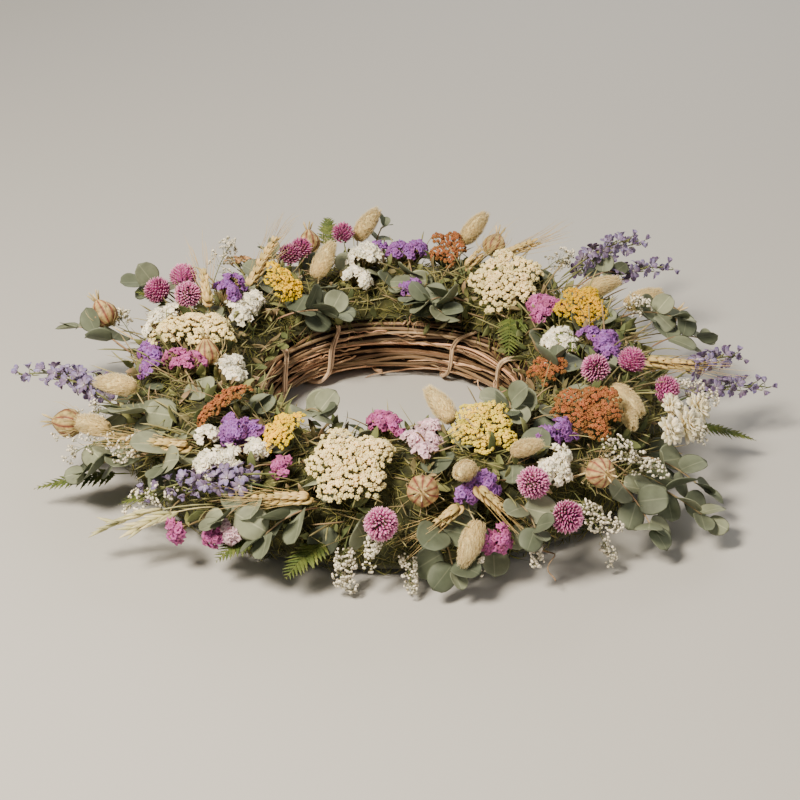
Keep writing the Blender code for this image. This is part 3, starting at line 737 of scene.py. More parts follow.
def yarrow_head(top, way, radius, root, pitch, domes, dome_rise=0.20):
    """Beads over domes over a shallow disc: bead places are a six-sided grid of that pitch, jogged, kept
    where a dome reaches; there the height is dome_rise x radius x (1 - (distance / dome radius) squared)."""
    side, other = flat_axes(way)
    number = np.arange(domes)
    ring = radius * (0.68 * np.sqrt((number + 0.35) / domes) + 0.02)
    turn = 2.4 * number + chance.uniform(0, 0.5, domes)
    dome_spots = ring[:, None] * np.stack([np.cos(turn), np.sin(turn)], -1)
    dome_radius = radius * chance.uniform(0.27, 0.36, domes)
    steps = int(radius / pitch) + 2
    across, up = np.meshgrid(np.arange(-steps, steps + 1), np.arange(-steps, steps + 1))
    grid = pitch * np.stack([across + 0.5 * (up % 2), up * 0.866], -1).reshape(-1, 2)
    grid = grid + chance.normal(0, 0.2 * pitch, grid.shape)
    apart = np.linalg.norm(grid[:, None] - dome_spots, axis=-1) / dome_radius
    near = apart.min(1)
    kept = (near < 1.0) & (np.linalg.norm(grid, axis=1) < radius * 1.04)
    grid, near, nearest = grid[kept], near[kept], apart.argmin(1)[kept]
    rise = radius * (dome_rise * (1 - near ** 2) - 0.16 * (np.linalg.norm(grid, axis=1) / radius) ** 2)
    outward = (grid - dome_spots[nearest]) / dome_radius[nearest][:, None]
    rise = rise + chance.normal(0, 0.16 * pitch, len(grid))
    spots = top + grid[:, :1] * side + grid[:, 1:] * other + rise[:, None] * way
    face = unit(way + 0.9 * (outward[:, :1] * side + outward[:, 1:] * other))
    petals = 5
    petal_turn = 2 * np.pi * np.arange(petals) / petals + chance.uniform(0, 6, (len(spots), 1))
    tangent = unit(np.cross(face, other))
    round_about = (
        np.cos(petal_turn)[..., None] * tangent[:, None]
        + np.sin(petal_turn)[..., None] * np.cross(face, tangent)[:, None]
    )
    bead_size = pitch * 0.32
    lift = pitch * chance.uniform(-0.12, 0.16, (len(spots), petals, 1))
    bead_spots = spots[:, None] + round_about * bead_size + face[:, None] * lift
    # Tone falls towards each dome's edge: painted shade in the gaps between domes, with a random spread.
    tone_and_dome_shade = np.clip(0.80 - 0.55 * near ** 2 + chance.normal(0, 0.16, len(spots)), 0, 1)
    beads = strewn(
        BEAD, bead_spots.reshape(-1, 3), np.repeat(face, petals, 0) + 0.5 * round_about.reshape(-1, 3),
        bead_size * chance.uniform(0.75, 1.25, len(spots) * petals), tone=np.repeat(tone_and_dome_shade, petals),
    )
    heart_tone_and_dome_shade = np.clip(tone_and_dome_shade + 0.1, 0, 1)
    hearts = strewn(BEAD, spots + face * pitch * 0.14, face, pitch * 0.31, tone=heart_tone_and_dome_shade)
    knot = root + (top - root) * 0.45
    dome_tops = top + dome_spots[:, :1] * side + dome_spots[:, 1:] * other - way * radius * 0.03
    forks = knot + (dome_tops - knot) * 0.55 - way * radius * 0.02
    rays = spots[::2] - face[::2] * pitch * 0.5
    stems = together(
        stalk(root - way * 0.004, knot, 0.0014, tone=0.4),
        stalk(np.repeat(knot[None], domes, 0), forks, 0.0007, tone=0.5),
        stalk(forks, dome_tops - way * radius * 0.04, 0.0006, tone=0.5),
        stalk(forks[nearest[::2]], rays, 0.00028, steps=4, corners=3, tone=0.6),
    )
    return together(beads, hearts), stems


def floret_finish(name, painted_shade, side, crown, spread):
    """A floret's three colours, from painted shade in the gap under it to its crown."""
    return mottled_finish(
        name, [(0.0, painted_shade), (0.45, side), (1.0, crown)], roughness=0.85, tone_spread=spread, hue_spread=0.02,
        mottle=(200.0, 0.22), grain=(1500.0, 0.4), glow=0.1,
    )


# Each look: finish name, painted shade under the florets, their side and crown colours, tone spread.
FLORET_LOOKS = {
    "cream_yarrow": ("cream_florets", (0.24, 0.14, 0.03), (0.82, 0.66, 0.27), (0.97, 0.86, 0.50), 0.3),
    "yellow_yarrow": ("gold_florets", (0.18, 0.08, 0.002), (0.74, 0.47, 0.008), (0.94, 0.70, 0.03), 0.3),
    "rust_yarrow": ("rust_florets", (0.035, 0.012, 0.004), (0.22, 0.080, 0.022), (0.40, 0.17, 0.058), 0.42),
    "yellow_yarrow_2": (
        "mustard_florets", (0.11, 0.05, 0.002), (0.52, 0.31, 0.004), (0.78, 0.52, 0.01), 0.35,
    ),
    "yellow_yarrow_4": ("straw_florets", (0.24, 0.14, 0.01), (0.76, 0.56, 0.05), (0.95, 0.80, 0.14), 0.3),
    "rust_yarrow_2": ("tan_florets", (0.12, 0.06, 0.02), (0.46, 0.27, 0.11), (0.66, 0.44, 0.22), 0.35),
}
yarrow_finishes = {kind: floret_finish(*look) for kind, look in FLORET_LOOKS.items()}
stem_finish = mottled_finish(
    "green_stems", [(0.0, (0.20, 0.19, 0.07)), (1.0, (0.34, 0.32, 0.14))],
    roughness=0.7, tone_spread=0.3, hue_spread=0.02, mottle=(80.0, 0.25), grain=(900.0, 0.3),
)
YARROW_BUILD = {"cream_yarrow": (0.0039, 13), "yellow_yarrow": (0.0029, 10), "rust_yarrow": (0.0031, 9)}
for node in sorted(frame["nodes"]):
    kind = node.rpartition("_")[0]
    if kind in YARROW_BUILD:
        pitch, domes = YARROW_BUILD[kind]
        head, stems = yarrow_head(*flat_head_of(node), pitch, domes)
        grown(f"{node}_florets", head, yarrow_finishes.get(node, yarrow_finishes[kind]), kind, node)
        grown(f"{node}_stems", stems, stem_finish, kind)

# ------------------------------------------------------------ globe amaranth
# Clover-like globes of stiff pointed bracts set in a spiral, magenta with paler tips, each on a thin stem
# with two small green leaves under it.


def heads_of(node, count, long=True):
    """(base, tip, root) of each head in a node. The corners outside the stems' small rings fall to `count`
    middles, begun far apart and moved to their own corners' means a few times. A long head lies the way
    its corners spread most, a round one away from the root; its tip is its last corner near that line."""
    spots, _ = mesh_of(node)
    root = root_of(spots)
    thick = thick_corners(spots)
    middles = [thick[np.linalg.norm(thick - root, axis=1).argmax()]]
    for _ in range(count - 1):
        nearest = np.min([np.linalg.norm(thick - middle, axis=1) for middle in middles], axis=0)
        middles.append(thick[nearest.argmax()])
    for _ in range(12):
        owner = np.linalg.norm(thick[:, None] - np.array(middles), axis=-1).argmin(1)
        middles = [np.median(thick[owner == number], axis=0) for number in range(count)]
    heads = []
    for number, middle in enumerate(middles):
        own = thick[owner == number]
        own = own[np.linalg.norm(own - middle, axis=1) < 0.034]
        middle = own.mean(0)
        way = np.linalg.svd(own - middle)[2][0] if long else unit(middle - root)
        way = way * np.sign((middle - root) @ way)
        reach = (spots - middle) @ way
        off_line = np.linalg.norm(spots - middle - reach[:, None] * way, axis=1)
        tip = reach[(off_line < 0.005) & (reach < 0.045)].max()
        heads.append((middle + way * ((own - middle) @ way).min(), middle + way * tip, root))
    return heads


BRACT = drawn_out(
    np.array([[(0, 0, 0), (0, 0.14, 0.28), (0, 0.2, 0.6), (0, 0.12, 0.85), (0, 0.0, 1.0)]]),
    (1, 0, 0), [0, 0.26, 0.24, 0.12, 0], [0, 0.07, 0.06, 0.04, 0], 6, tone=0.5,
)


LEAF = drawn_out(
    np.array([[(0, 0, 0), (0, 0.02, 0.15), (0, 0.05, 0.4), (0, 0.03, 0.7), (0, -0.04, 0.9), (0, -0.1, 1.0)]]),
    (1, 0, 0), [0, 0.1, 0.2, 0.16, 0.07, 0], [0, 0.012, 0.016, 0.012, 0.01, 0], 8, tone=0.5,
)


def spiral(many):
    """Directions spread evenly over a ball, from its +Z pole down, each a golden angle on from the last."""
    height = 1 - 2 * (np.arange(many) + 0.5) / many
    turn = np.pi * (3 - np.sqrt(5)) * np.arange(many)
    ring = np.sqrt(1 - height ** 2)
    return np.stack([ring * np.cos(turn), ring * np.sin(turn), height], -1)


def globe_head(base, tip, root, bracts=230):
    """A ball of bracts: each stands at its direction x the ball's half sizes, leaning from straight out
    towards the tip by a share that grows away from the tip."""
    way = unit(tip - base)
    side, other = flat_axes(way)
    middle, half = (base + tip) / 2, np.linalg.norm(tip - base) / 2
    around = spiral(bracts)
    out = around[:, :1] * side + around[:, 1:2] * other + around[:, 2:] * way
    lean = unit(out + way * (0.75 - 0.35 * around[:, 2:]) + chance.normal(0, 0.09, out.shape))
    spots = middle + out * half * 0.72
    leaves = np.stack([side, -side]) * 0.8 + way * 0.5
    return (
        strewn(BRACT, spots, lean, half * chance.uniform(0.42, 0.54, bracts), faces=-out),
        together(
            strewn(BEAD, middle, way, half * 0.72, tone=0.0),
            stalk(root, base + way * half * 0.4, 0.0009, bow=side * 0.002),
            strewn(LEAF, np.stack([base, base]) + way * half * 0.2, leaves, half * 0.9),
        ),
    )


globe_finish = mottled_finish(
    "globe_bracts",
    [(0.0, (0.15, 0.02, 0.09)), (0.45, (0.46, 0.08, 0.27)),
     (0.75, (0.66, 0.22, 0.42)), (1.0, (0.88, 0.62, 0.70))],
    roughness=0.6, tone_spread=0.28, hue_spread=0.012, mottle=(90.0, 0.15), grain=(1200.0, 0.3), glow=0.1,
)
leaf_finish = mottled_finish(
    "small_leaves", [(0.0, (0.11, 0.13, 0.045)), (1.0, (0.21, 0.23, 0.09))],
    roughness=0.7, tone_spread=0.4, hue_spread=0.03, mottle=(120.0, 0.25), grain=(900.0, 0.3),
)
GLOBE_HEADS = {"left": 3, "right": 3, "front": 1, "front_right": 2}
for bunch, count in GLOBE_HEADS.items():
    node = f"globe_amaranth_{bunch}"
    made = [globe_head(*head) for head in heads_of(node, count, long=False)]
    names = (f"globe_bracts_{bunch}", f"globe_stems_{bunch}")
    grown_each(names, made, (globe_finish, leaf_finish), "globe_pink", node)

# ------------------------------------------------------------ bunny tail grass
# Egg-shaped, silky seed heads of bunny tail grass, cream with a warmer middle, on thin straw stems.
SHORT_TAIL, LONG_TAIL = 0.026, 0.038
HAIR = drawn_out(
    np.array([[(0, 0, 0), (0, 0.05, 0.4), (0, 0.02, 0.75), (0, -0.06, 1.0)]]),
    (1, 0, 0), [0, 0.013, 0.009, 0], [0, 0.013, 0.009, 0], 3, tone=0.5,
)


def egg_radius(share, widest):
    """The egg's radius at share s along: the widest x sin(pi (0.06 + 0.88 s)) to the power 0.6, and drawn
    in towards the tip by 1.05 - 0.35 s."""
    return widest * np.sin(np.pi * (0.06 + 0.88 * share)) ** 0.6 * (1.05 - 0.35 * share)


def bunny_head(base, tip, root, hairs=1950):
    """An egg below the tip covered in fine hairs that lean towards the tip."""
    way, length = unit(tip - base), np.clip(np.linalg.norm(tip - base), SHORT_TAIL, LONG_TAIL)
    base = tip - way * length
    side, other = flat_axes(way)
    widest = min(length * 0.22, 0.0080)
    share, turn = chance.random(hairs) ** 0.85, chance.uniform(0, 2 * np.pi, hairs)
    radius = egg_radius(share, widest)
    out = np.cos(turn)[:, None] * side + np.sin(turn)[:, None] * other
    bend = other * length * 0.06 * (share[:, None] ** 2)
    spots = base + way * (share * length * 0.92)[:, None] + out * radius[:, None] + bend
    lean = out * (0.75 - 0.4 * share[:, None]) + way * (1.0 + 0.5 * share[:, None])
    lean = unit(lean + chance.normal(0, 0.1, out.shape))
    thick = np.full(hairs, 0.009)
    sizes = np.stack([thick, thick, chance.uniform(0.0030, 0.0056, hairs)], -1)
    core_share = np.linspace(0, 1, 12)
    core = egg_radius(core_share, widest)
    core_share = core_share[:, None]
    core_path = base + way * core_share * length * 0.93 + other * length * 0.06 * core_share ** 2
    return (
        together(
            strewn(HAIR, spots, lean, sizes),
            drawn_out(core_path[None], side, core, core, 12, tone=0.25),
        ),
        stalk(root, base + way * 0.004, 0.0007, bow=side * 0.003, steps=7),
    )


bunny_finish = mottled_finish(
    "bunny_fur", [(0.0, (0.60, 0.42, 0.17)), (0.4, (0.82, 0.63, 0.29)), (1.0, (0.97, 0.86, 0.50))],
    roughness=0.9, tone_spread=0.1, hue_spread=0.01,
    mottle=(60.0, 0.12), grain=(1200.0, 0.2), sheen=0.2, glow=0.1,
)
straw_finish = mottled_finish(
    "straw", [(0.0, (0.36, 0.27, 0.12)), (0.4, (0.58, 0.46, 0.22)), (1.0, (0.72, 0.60, 0.34))],
    roughness=0.55, tone_spread=0.25, hue_spread=0.012, mottle=(120.0, 0.2), grain=(900.0, 0.3),
)
BUNNY_HEADS = {"back": 1, "inner": 1, "back_right": 1, "right_back": 2, "left": 2, "front": 2, "right": 2}
for bunch, count in BUNNY_HEADS.items():
    node = f"bunny_tail_{bunch}"
    made = [bunny_head(*head) for head in heads_of(node, count)]
    names = (f"bunny_fur_{bunch}", f"bunny_stems_{bunch}")
    grown_each(names, made, (bunny_finish, straw_finish), "bunny_tail", node)

# ------------------------------------------------------------ wheat
# Ripe bearded wheat ears: two rows of plump pointed grains braided along the stem, each with a long awn.
GRAIN = drawn_out(
    np.array([[(0, 0, 0), (0, 0.05, 0.2), (0, 0.08, 0.5), (0, 0.04, 0.8), (0, 0, 1.0)]]),
    (1, 0, 0), [0, 0.15, 0.185, 0.085, 0], [0, 0.12, 0.15, 0.07, 0], 7, tone=0.5,
)


def wheat_ear(base, tip, root, awn_length=0.042):
    """Spikelets on the front and back in turn, each a flat fan of four grains that overlaps the one before;
    every outer grain's awn runs on past the tip, spreading slowly and bending by chance."""
    way, length = unit(tip - base), np.linalg.norm(tip - base)
    side = unit(np.cross(way, (0, 0, 1.0)))
    face = np.cross(side, way)
    rows = max(8, int(length / 0.0034))
    share = np.arange(rows) / rows
    hand = np.where(np.arange(rows) % 2, 1.0, -1.0)[:, None]
    taper = (1 - 0.45 * share ** 2)[:, None]
    fan = np.array([-0.40, -0.14, 0.14, 0.40])[None] * taper
    middle = base + way * (share * (length - 0.006))[:, None] + face * hand * 0.0010
    ways = way + side * fan[..., None] + face * (hand * (0.34 - 0.5 * np.abs(fan)))[..., None]
    ways = unit(ways + chance.normal(0, 0.06, ways.shape)).reshape(-1, 3)
    spots = np.repeat(middle, 4, 0) + np.tile(side[None], (rows * 4, 1)) * fan.reshape(-1, 1) * 0.0028
    size = np.repeat(0.0098 * taper[:, 0], 4) * chance.uniform(0.88, 1.12, rows * 4)
    grains = strewn(GRAIN, spots, ways, size, faces=np.repeat(face * hand, 4, 0))
    outer = np.abs(fan.reshape(-1)) > 0.18
    starts = (spots + ways * size[:, None] * 0.92)[outer]
    steps = np.linspace(0, 1, 6)[None, :, None]
    reach = chance.uniform(0.6, 1.15, (len(starts), 1, 1)) * awn_length
    bend = chance.normal(0, 0.10, (len(starts), 1, 3))
    heading = unit(ways[outer] * 0.6 + way * 0.8)[:, None]
    paths = starts[:, None] + reach * steps * heading + reach * steps ** 2 * bend
    girth = np.linspace(1, 0.3, 6) * 0.00024
    return together(
        grains, stalk(root, middle[-1], 0.0009, bow=side * 0.002, steps=9),
        drawn_out(paths, (0.3, 0.2, 0.9), girth, girth, 3, tone=0.8),
    )


wheat_finish = mottled_finish(
    "wheat_husk", [(0.0, (0.32, 0.21, 0.07)), (0.35, (0.58, 0.42, 0.155)), (1.0, (0.76, 0.60, 0.28))],
    roughness=0.5, tone_spread=0.22, hue_spread=0.012, mottle=(150.0, 0.18), grain=(1100.0, 0.4),
)
WHEAT_HEADS = {"back": 1, "left": 1, "right": 1, "front_left": 1, "front": 2}
for bunch, count in WHEAT_HEADS.items():
    node = f"wheat_{bunch}"
    ears = [wheat_ear(*head) for head in heads_of(node, count)]
    grown(f"wheat_ears_{bunch}", together(*ears), wheat_finish, "wheat", node, eased=True)

# ------------------------------------------------------------ seed pods
# Love-in-a-mist pods: papery tan balloons with burgundy seams, five horns and a ruff of thread-like bracts.
POD_PROFILE = [
    (0, 0), (0.28, 0.01), (0.64, 0.10), (0.90, 0.27), (0.98, 0.42),
    (0.92, 0.58), (0.70, 0.75), (0.42, 0.90), (0.2, 1.0), (0, 1.02),
]


def seed_pod(base, tip, root):
    """A five-lobed balloon turned from a profile, its five horns drawn from the top, and the ruff's threads
    rising from under it and curving in."""
    way, length = unit(tip - base), np.linalg.norm(tip - base)
    side, other = flat_axes(way)
    radius, high = length * 0.42, length * 0.86
    profile = np.array(POD_PROFILE) * (radius, high)
    balloon = strewn(turned(profile, 40, lobes=5, depth=-0.035), base, way, 1.0, faces=other)
    turn = 2 * np.pi * np.arange(5) / 5 + np.pi / 5
    out = np.cos(turn)[:, None] * side + np.sin(turn)[:, None] * other
    top = base + way * high * 0.95
    horn_tips = top + out * radius * 0.5 + way * length * 0.34
    horns = stalk(top + out * radius * 0.15, horn_tips, 0.0008, bow=way * 0.0012)
    threads = 22
    turn = chance.uniform(0, 2 * np.pi, threads)
    out = np.cos(turn)[:, None] * side + np.sin(turn)[:, None] * other
    start = np.repeat((base - way * 0.001)[None], threads, 0)
    end = base + out * radius * chance.uniform(0.9, 1.7, (threads, 1))
    end = end + way * length * chance.uniform(0.2, 0.95, (threads, 1))
    ruff = stalk(start, end, 0.00026, bow=out * radius * 0.5, steps=7, corners=3)
    return together(balloon), together(horns, ruff, stalk(root, base, 0.0010, bow=side * 0.002, steps=7))


pod_finish = mottled_finish(
    "pod_paper",
    [(0.0, (0.44, 0.34, 0.14)), (0.7, (0.40, 0.28, 0.115)),
     (0.92, (0.25, 0.10, 0.055)), (1.0, (0.14, 0.04, 0.035))],
    roughness=0.6, reads="across", tone_spread=0.15, hue_spread=0.01,
    mottle=(240.0, 0.55), grain=(700.0, 0.45), glow=0.1,
)
POD_PLACES = ("left", "front", "front_right", "right")
for bunch in POD_PLACES:
    node = f"seed_pod_{bunch}"
    balloon, threads = seed_pod(*heads_of(node, 1)[0])
    grown(f"pod_balloon_{bunch}", balloon, pod_finish, "seed_pod", node)
    grown(f"pod_ruff_{bunch}", threads, straw_finish, "seed_pod")

# ------------------------------------------------------------ statice
# Papery statice in violet, pink and white: stiff little ruffled funnels packed in curved rows, each in a
# brownish calyx on short green branches.
RUFFLE = turned([(0, -1.0), (0.2, -0.85), (1.0, 0.16), (0.5, 0.0), (0, -0.25)], 10, lobes=5, depth=0.2)
CALYX = turned([(0, -1.9), (0.18, -1.7), (0.36, -0.7), (0, -0.4)], 5)


def statice_tuft(top, way, florets, radius, root):
    """Funnels packed in pairs along curved rows: row k leaves the way at its own turn and bends round the
    tuft's ball as it goes out to about 80 degrees."""
    side, other = flat_axes(way)
    rows = 6
    per_row = florets // rows
    share = np.tile(np.repeat(np.arange(per_row // 2 + 1), 2)[:per_row], rows) / (per_row // 2)
    turn = np.repeat(2 * np.pi * np.arange(rows) / rows + chance.uniform(0, 1.0, rows), per_row)
    turn = turn + share * 0.9 + np.tile(np.arange(per_row) % 2 - 0.5, rows) * 0.34 / (0.35 + share)
    fall = (0.16 + 1.15 * share) * np.repeat(chance.uniform(0.75, 1.1, rows), per_row)
    out = (
        (np.sin(fall) * np.cos(turn))[:, None] * side + (np.sin(fall) * np.sin(turn))[:, None] * other
        + np.cos(fall)[:, None] * way
    )
    centre = top - way * radius
    spots = centre + out * radius * chance.uniform(0.86, 1.12, (len(out), 1))
    face = unit(out + chance.normal(0, 0.3, out.shape))
    sizes = chance.uniform(0.0021, 0.0030, len(out))
    blooms = strewn(RUFFLE, spots, face, sizes)
    branches = np.repeat((centre - way * radius * 0.6)[None], len(out), 0)
    cups = together(
        strewn(CALYX, spots, face, sizes),
        stalk(branches, spots - face * sizes[:, None], 0.00035, steps=4, corners=3),
        stalk(root, centre - way * radius * 0.4, 0.0010, tone=0.5),
    )
    return blooms, cups


def tufts_of(node, count, radius):
    """(top, way) of a statice node's tufts: the corners highest off the root, each over a tuft's half width
    from the last, with the way from the root to the corners round it."""
    spots, _ = mesh_of(node)
    root = root_of(spots)
    away = np.linalg.norm(spots - root, axis=1)
    lift = unit(spots[away > 0.7 * away.max()].mean(0) - root)
    high = (spots - root) @ lift
    tops, free = [], np.full(len(spots), True)
    for _ in range(count):
        pick = spots[np.where(free, high, -1).argmax()]
        tops.append(spots[np.linalg.norm(spots - pick, axis=1) < 1.1 * radius].mean(0))
        free &= np.linalg.norm(spots - tops[-1], axis=1) > 1.25 * radius
    middle = np.mean(tops, axis=0)
    return [(top + lift * 0.003, unit(lift + (top - middle) * 35), root) for top in tops]


def petal_finish(name, edge, deep):
    """A papery funnel: deep outside at its foot, of the edge's colour at its rim, and deep in its throat; the
    deep colour is painted shade.
    """
    between = tuple(0.5 * (a + b) for a, b in zip(edge, deep))
    return mottled_finish(
        name, [(0.0, deep), (0.35, between), (0.62, edge), (1.0, deep)],
        roughness=0.8, tone_spread=0.3, hue_spread=0.02, mottle=(130.0, 0.22), grain=(1100.0, 0.4), glow=0.15,
    )


# Each is (edge, deep): the deep colour is painted shade at each funnel's foot and in its throat.
statice_finishes = {
    "purple_statice": petal_finish("violet_petals", (0.34, 0.13, 0.46), (0.09, 0.025, 0.15)),
    "pink_statice": petal_finish("pink_petals", (0.54, 0.13, 0.36), (0.22, 0.04, 0.14)),
    "pale_statice": petal_finish("pale_pink_petals", (0.86, 0.60, 0.68), (0.52, 0.27, 0.36)),
    "white_statice": petal_finish("white_petals", (1.0, 0.96, 0.80), (0.84, 0.74, 0.50)),
}
calyx_finish = mottled_finish(
    "calyx", [(0.0, (0.18, 0.16, 0.06)), (1.0, (0.27, 0.19, 0.09))],
    roughness=0.75, tone_spread=0.3, hue_spread=0.02, mottle=(120.0, 0.25), grain=(900.0, 0.3),
)
TUFTS, TUFT_FLORETS = 3, 72
CAD_TUFT_RADIUS, TUFT_RADIUS, WHITE_TUFT_RADIUS = 0.0082, 0.0122, 0.0132
for node in sorted(frame["nodes"]):
    if "statice" in node:
        kind = "_".join(node.split("_")[:2])
        radius = WHITE_TUFT_RADIUS if kind == "white_statice" else TUFT_RADIUS
        tufts = tufts_of(node, TUFTS, CAD_TUFT_RADIUS)
        made = [statice_tuft(top, way, TUFT_FLORETS, radius, root) for top, way, root in tufts]
        finishes = (statice_finishes[kind], calyx_finish)
        grown_each((f"{node}_blooms", f"{node}_calyxes"), made, finishes, kind, node)

# ------------------------------------------------------------ larkspur
# Loose spires of dried larkspur: lavender-blue florets of crinkled petals with a pale eye and a thin spur,
# buds towards the tip, on a wiry green stem.
PETAL = drawn_out(
    np.array([[(0, 0, 0), (0, 0.06, 0.3), (0, 0.1, 0.65), (0, 0.02, 0.9), (0, -0.06, 1.0)]]),
    (1, 0, 0), [0, 0.20, 0.31, 0.19, 0], [0, 0.04, 0.03, 0.03, 0], 6, tone=0.5,
)


def spire(root, tip, florets, bow):
    """A bowed stem; florets at even shares along it, each a golden angle round from the last and smaller
    towards the tip, where they close to buds."""
    way = unit(tip - root)
    side, other = flat_axes(way)
    share = np.linspace(0.26, 1.0, florets)[:, None]
    spots = root * (1 - share) + tip * share + bow * 4 * share * (1 - share)
    turn = 2.4 * np.arange(florets)[:, None] + chance.uniform(0, 0.5, (florets, 1))
    out = unit(np.cos(turn) * side + np.sin(turn) * other + way * 0.35 + (0, 0, 0.3))
    hearts = spots + out * 0.0062 * (1.15 - 0.6 * share)
    open_share = np.clip(1.35 - share, 0.2, 1)
    petal_turn = 2 * np.pi * (np.arange(6) + 0.5 * chance.random((florets, 6))) / 6
    first = unit(np.cross(out, way))[:, None]
    second = np.cross(out[:, None], first)
    spread = np.cos(petal_turn)[..., None] * first + np.sin(petal_turn)[..., None] * second
    ways = unit(spread * open_share[:, None] + out[:, None] * (1.15 - open_share[:, None])).reshape(-1, 3)
    sizes = np.repeat(0.0084 * (0.5 + 0.5 * open_share[:, 0]), 6) * chance.uniform(0.85, 1.15, florets * 6)
    petals = strewn(PETAL, np.repeat(hearts, 6, 0), ways, sizes, faces=np.repeat(out, 6, 0))
    eyes = strewn(BEAD, hearts + out * 0.0006, out, 0.0011 * open_share[:, 0], tone=0.5)
    stems = together(
        stalk(root, tip, 0.0009, bow=bow, steps=14),
        stalk(spots, hearts, 0.0004, steps=4, corners=4),
        stalk(hearts, hearts - out * 0.003 - way * 0.006, 0.0006, bow=out * 0.001, steps=5, corners=4),
    )
    return petals, eyes, stems


lark_finish = mottled_finish(
    "larkspur_petals",
    [(0.0, (0.60, 0.55, 0.50)), (0.22, (0.34, 0.28, 0.40)),
     (0.7, (0.19, 0.14, 0.32)), (1.0, (0.40, 0.35, 0.44))],
    roughness=0.75, tone_spread=0.38, hue_spread=0.025, mottle=(200.0, 0.25), grain=(1100.0, 0.4), glow=0.15,
)
eye_finish = mottled_finish(
    "larkspur_eyes", [(0.0, (0.62, 0.58, 0.50)), (1.0, (0.80, 0.76, 0.68))],
    roughness=0.8, tone_spread=0.15, mottle=(200.0, 0.15), grain=(1100.0, 0.3),
)


def tip_of(spots, root):
    """The corner furthest from the root."""
    return spots[np.linalg.norm(spots - root, axis=1).argmax()]


SPIRE_FLORETS = {"larkspur_left": 19, "larkspur_back_right": 24, "larkspur_right": 19}
for node, florets in SPIRE_FLORETS.items():
    spots, _ = mesh_of(node)
    root = root_of(spots)
    petals, eyes, stems = spire(root, tip_of(spots, root), florets, np.array((0, 0, 0.009)))
    grown(f"{node}_petals", petals, lark_finish, "larkspur", node)
    grown(f"{node}_eyes", eyes, eye_finish, "larkspur")
    grown(f"{node}_stems", stems, leaf_finish, "larkspur")

# ------------------------------------------------------------ eucalyptus
# Silver-dollar eucalyptus: thin round leaves in pairs, matte grey-green with a pale midrib, on fine stems.
ROUND_SHARE = np.linspace(0, 1, 9)


def round_leaf(droop, cup):
    """A leaf as wide as long: half width 0.5 sqrt(1 - (2s - 1) squared), bent down by droop x s squared and
    folded up at its edges by cup x (width / widest) squared."""
    half = 0.5 * np.sqrt(np.clip(1 - (2 * ROUND_SHARE - 1) ** 2, 0, None)) * (1 - 0.12 * (ROUND_SHARE - 0.4))
    path = np.stack([0 * ROUND_SHARE, -droop * ROUND_SHARE ** 2, ROUND_SHARE], -1)[None]
    points, triangles, along, across, tone = drawn_out(path, (1, 0, 0), half, np.full(9, 0.013), 12, tone=0.5)
    points[:, 1] += cup * (2 * points[:, 0]) ** 2
    return points, triangles, along, across, tone


ROUND_LEAVES = (round_leaf(0.16, 0.10), round_leaf(-0.10, 0.16), round_leaf(0.05, -0.12))


def leaves_on(spots, ways, sizes, faces, narrow=1.0):
    """Round leaves at those places, a third of them of each bending."""
    sizes = np.broadcast_to(np.asarray(sizes, float), len(spots))[:, None] * np.array((narrow, 1.0, 1.0))
    return together(*[
        strewn(leaf, spots[kind::3], ways[kind::3], sizes[kind::3], faces=faces[kind::3])
        for kind, leaf in enumerate(ROUND_LEAVES) if len(spots[kind::3])
    ])


def sprig(root, tip, pairs, size, bow=(0.0, 0.0, 0.006)):
    """Pairs of leaves along a bowed stem, turned a quarter round from pair to pair less a little, and one
    more leaf at the tip; each leaf's size shrinks towards the tip."""
    way = unit(tip - root)
    side, other = flat_axes(way)
    share = np.repeat(np.linspace(0.34, 0.93, pairs), 2)[:, None]
    spots = root * (1 - share) + tip * share + np.asarray(bow) * 4 * share * (1 - share)
    turn = (np.repeat(np.arange(pairs), 2) * 1.25 + np.tile([0, np.pi], pairs))[:, None]
    turn = turn + chance.normal(0, 0.2, (2 * pairs, 1))
    out = np.cos(turn) * side + np.sin(turn) * other * 0.6
    ways = np.concatenate([unit(out + way * 0.55 + (0, 0, 0.12)), way[None]])
    spots = np.concatenate([spots, tip[None]])
    sizes = size * np.concatenate([1.08 - 0.35 * share[:, 0], [0.62]])
    sizes = sizes * chance.uniform(0.9, 1.1, 2 * pairs + 1)
    faces = unit(np.array((0, 0, 1.0)) + 0.5 * way + chance.normal(0, 0.35, (2 * pairs + 1, 3)))
    return leaves_on(spots, ways, sizes, faces, 0.94), stalk(root, tip, 0.0008, bow=bow, steps=12)


eucalyptus_finish = mottled_finish(
    "eucalyptus_leaf",
    [(0.0, (0.28, 0.295, 0.20)), (0.03, (0.195, 0.22, 0.145)),
     (0.08, (0.15, 0.175, 0.115)), (1.0, (0.185, 0.21, 0.14))],
    roughness=0.6, reads="across", tone_spread=0.42, hue_spread=0.025,
    mottle=(60.0, 0.3), grain=(500.0, 0.25),
)
twig_finish = mottled_finish(
    "leaf_twigs", [(0.0, (0.26, 0.16, 0.09)), (1.0, (0.34, 0.26, 0.14))],
    roughness=0.7, tone_spread=0.25, hue_spread=0.02, mottle=(90.0, 0.25), grain=(900.0, 0.3),
)
SPRIG_LEAVES = {"left": (0.030, 0.66), "right": (0.029, 0.92), "back": (0.027, 0.95)}
for side_name, (size, share) in SPRIG_LEAVES.items():
    node = f"eucalyptus_{side_name}"
    spots, _ = mesh_of(node)
    root = root_of(spots)
    leaves, twig = sprig(root, root + (tip_of(spots, root) - root) * share, 4, size)
    grown(f"{node}_leaves", leaves, eucalyptus_finish, "eucalyptus", node)
    grown(f"{node}_twig", twig, twig_finish, "eucalyptus")

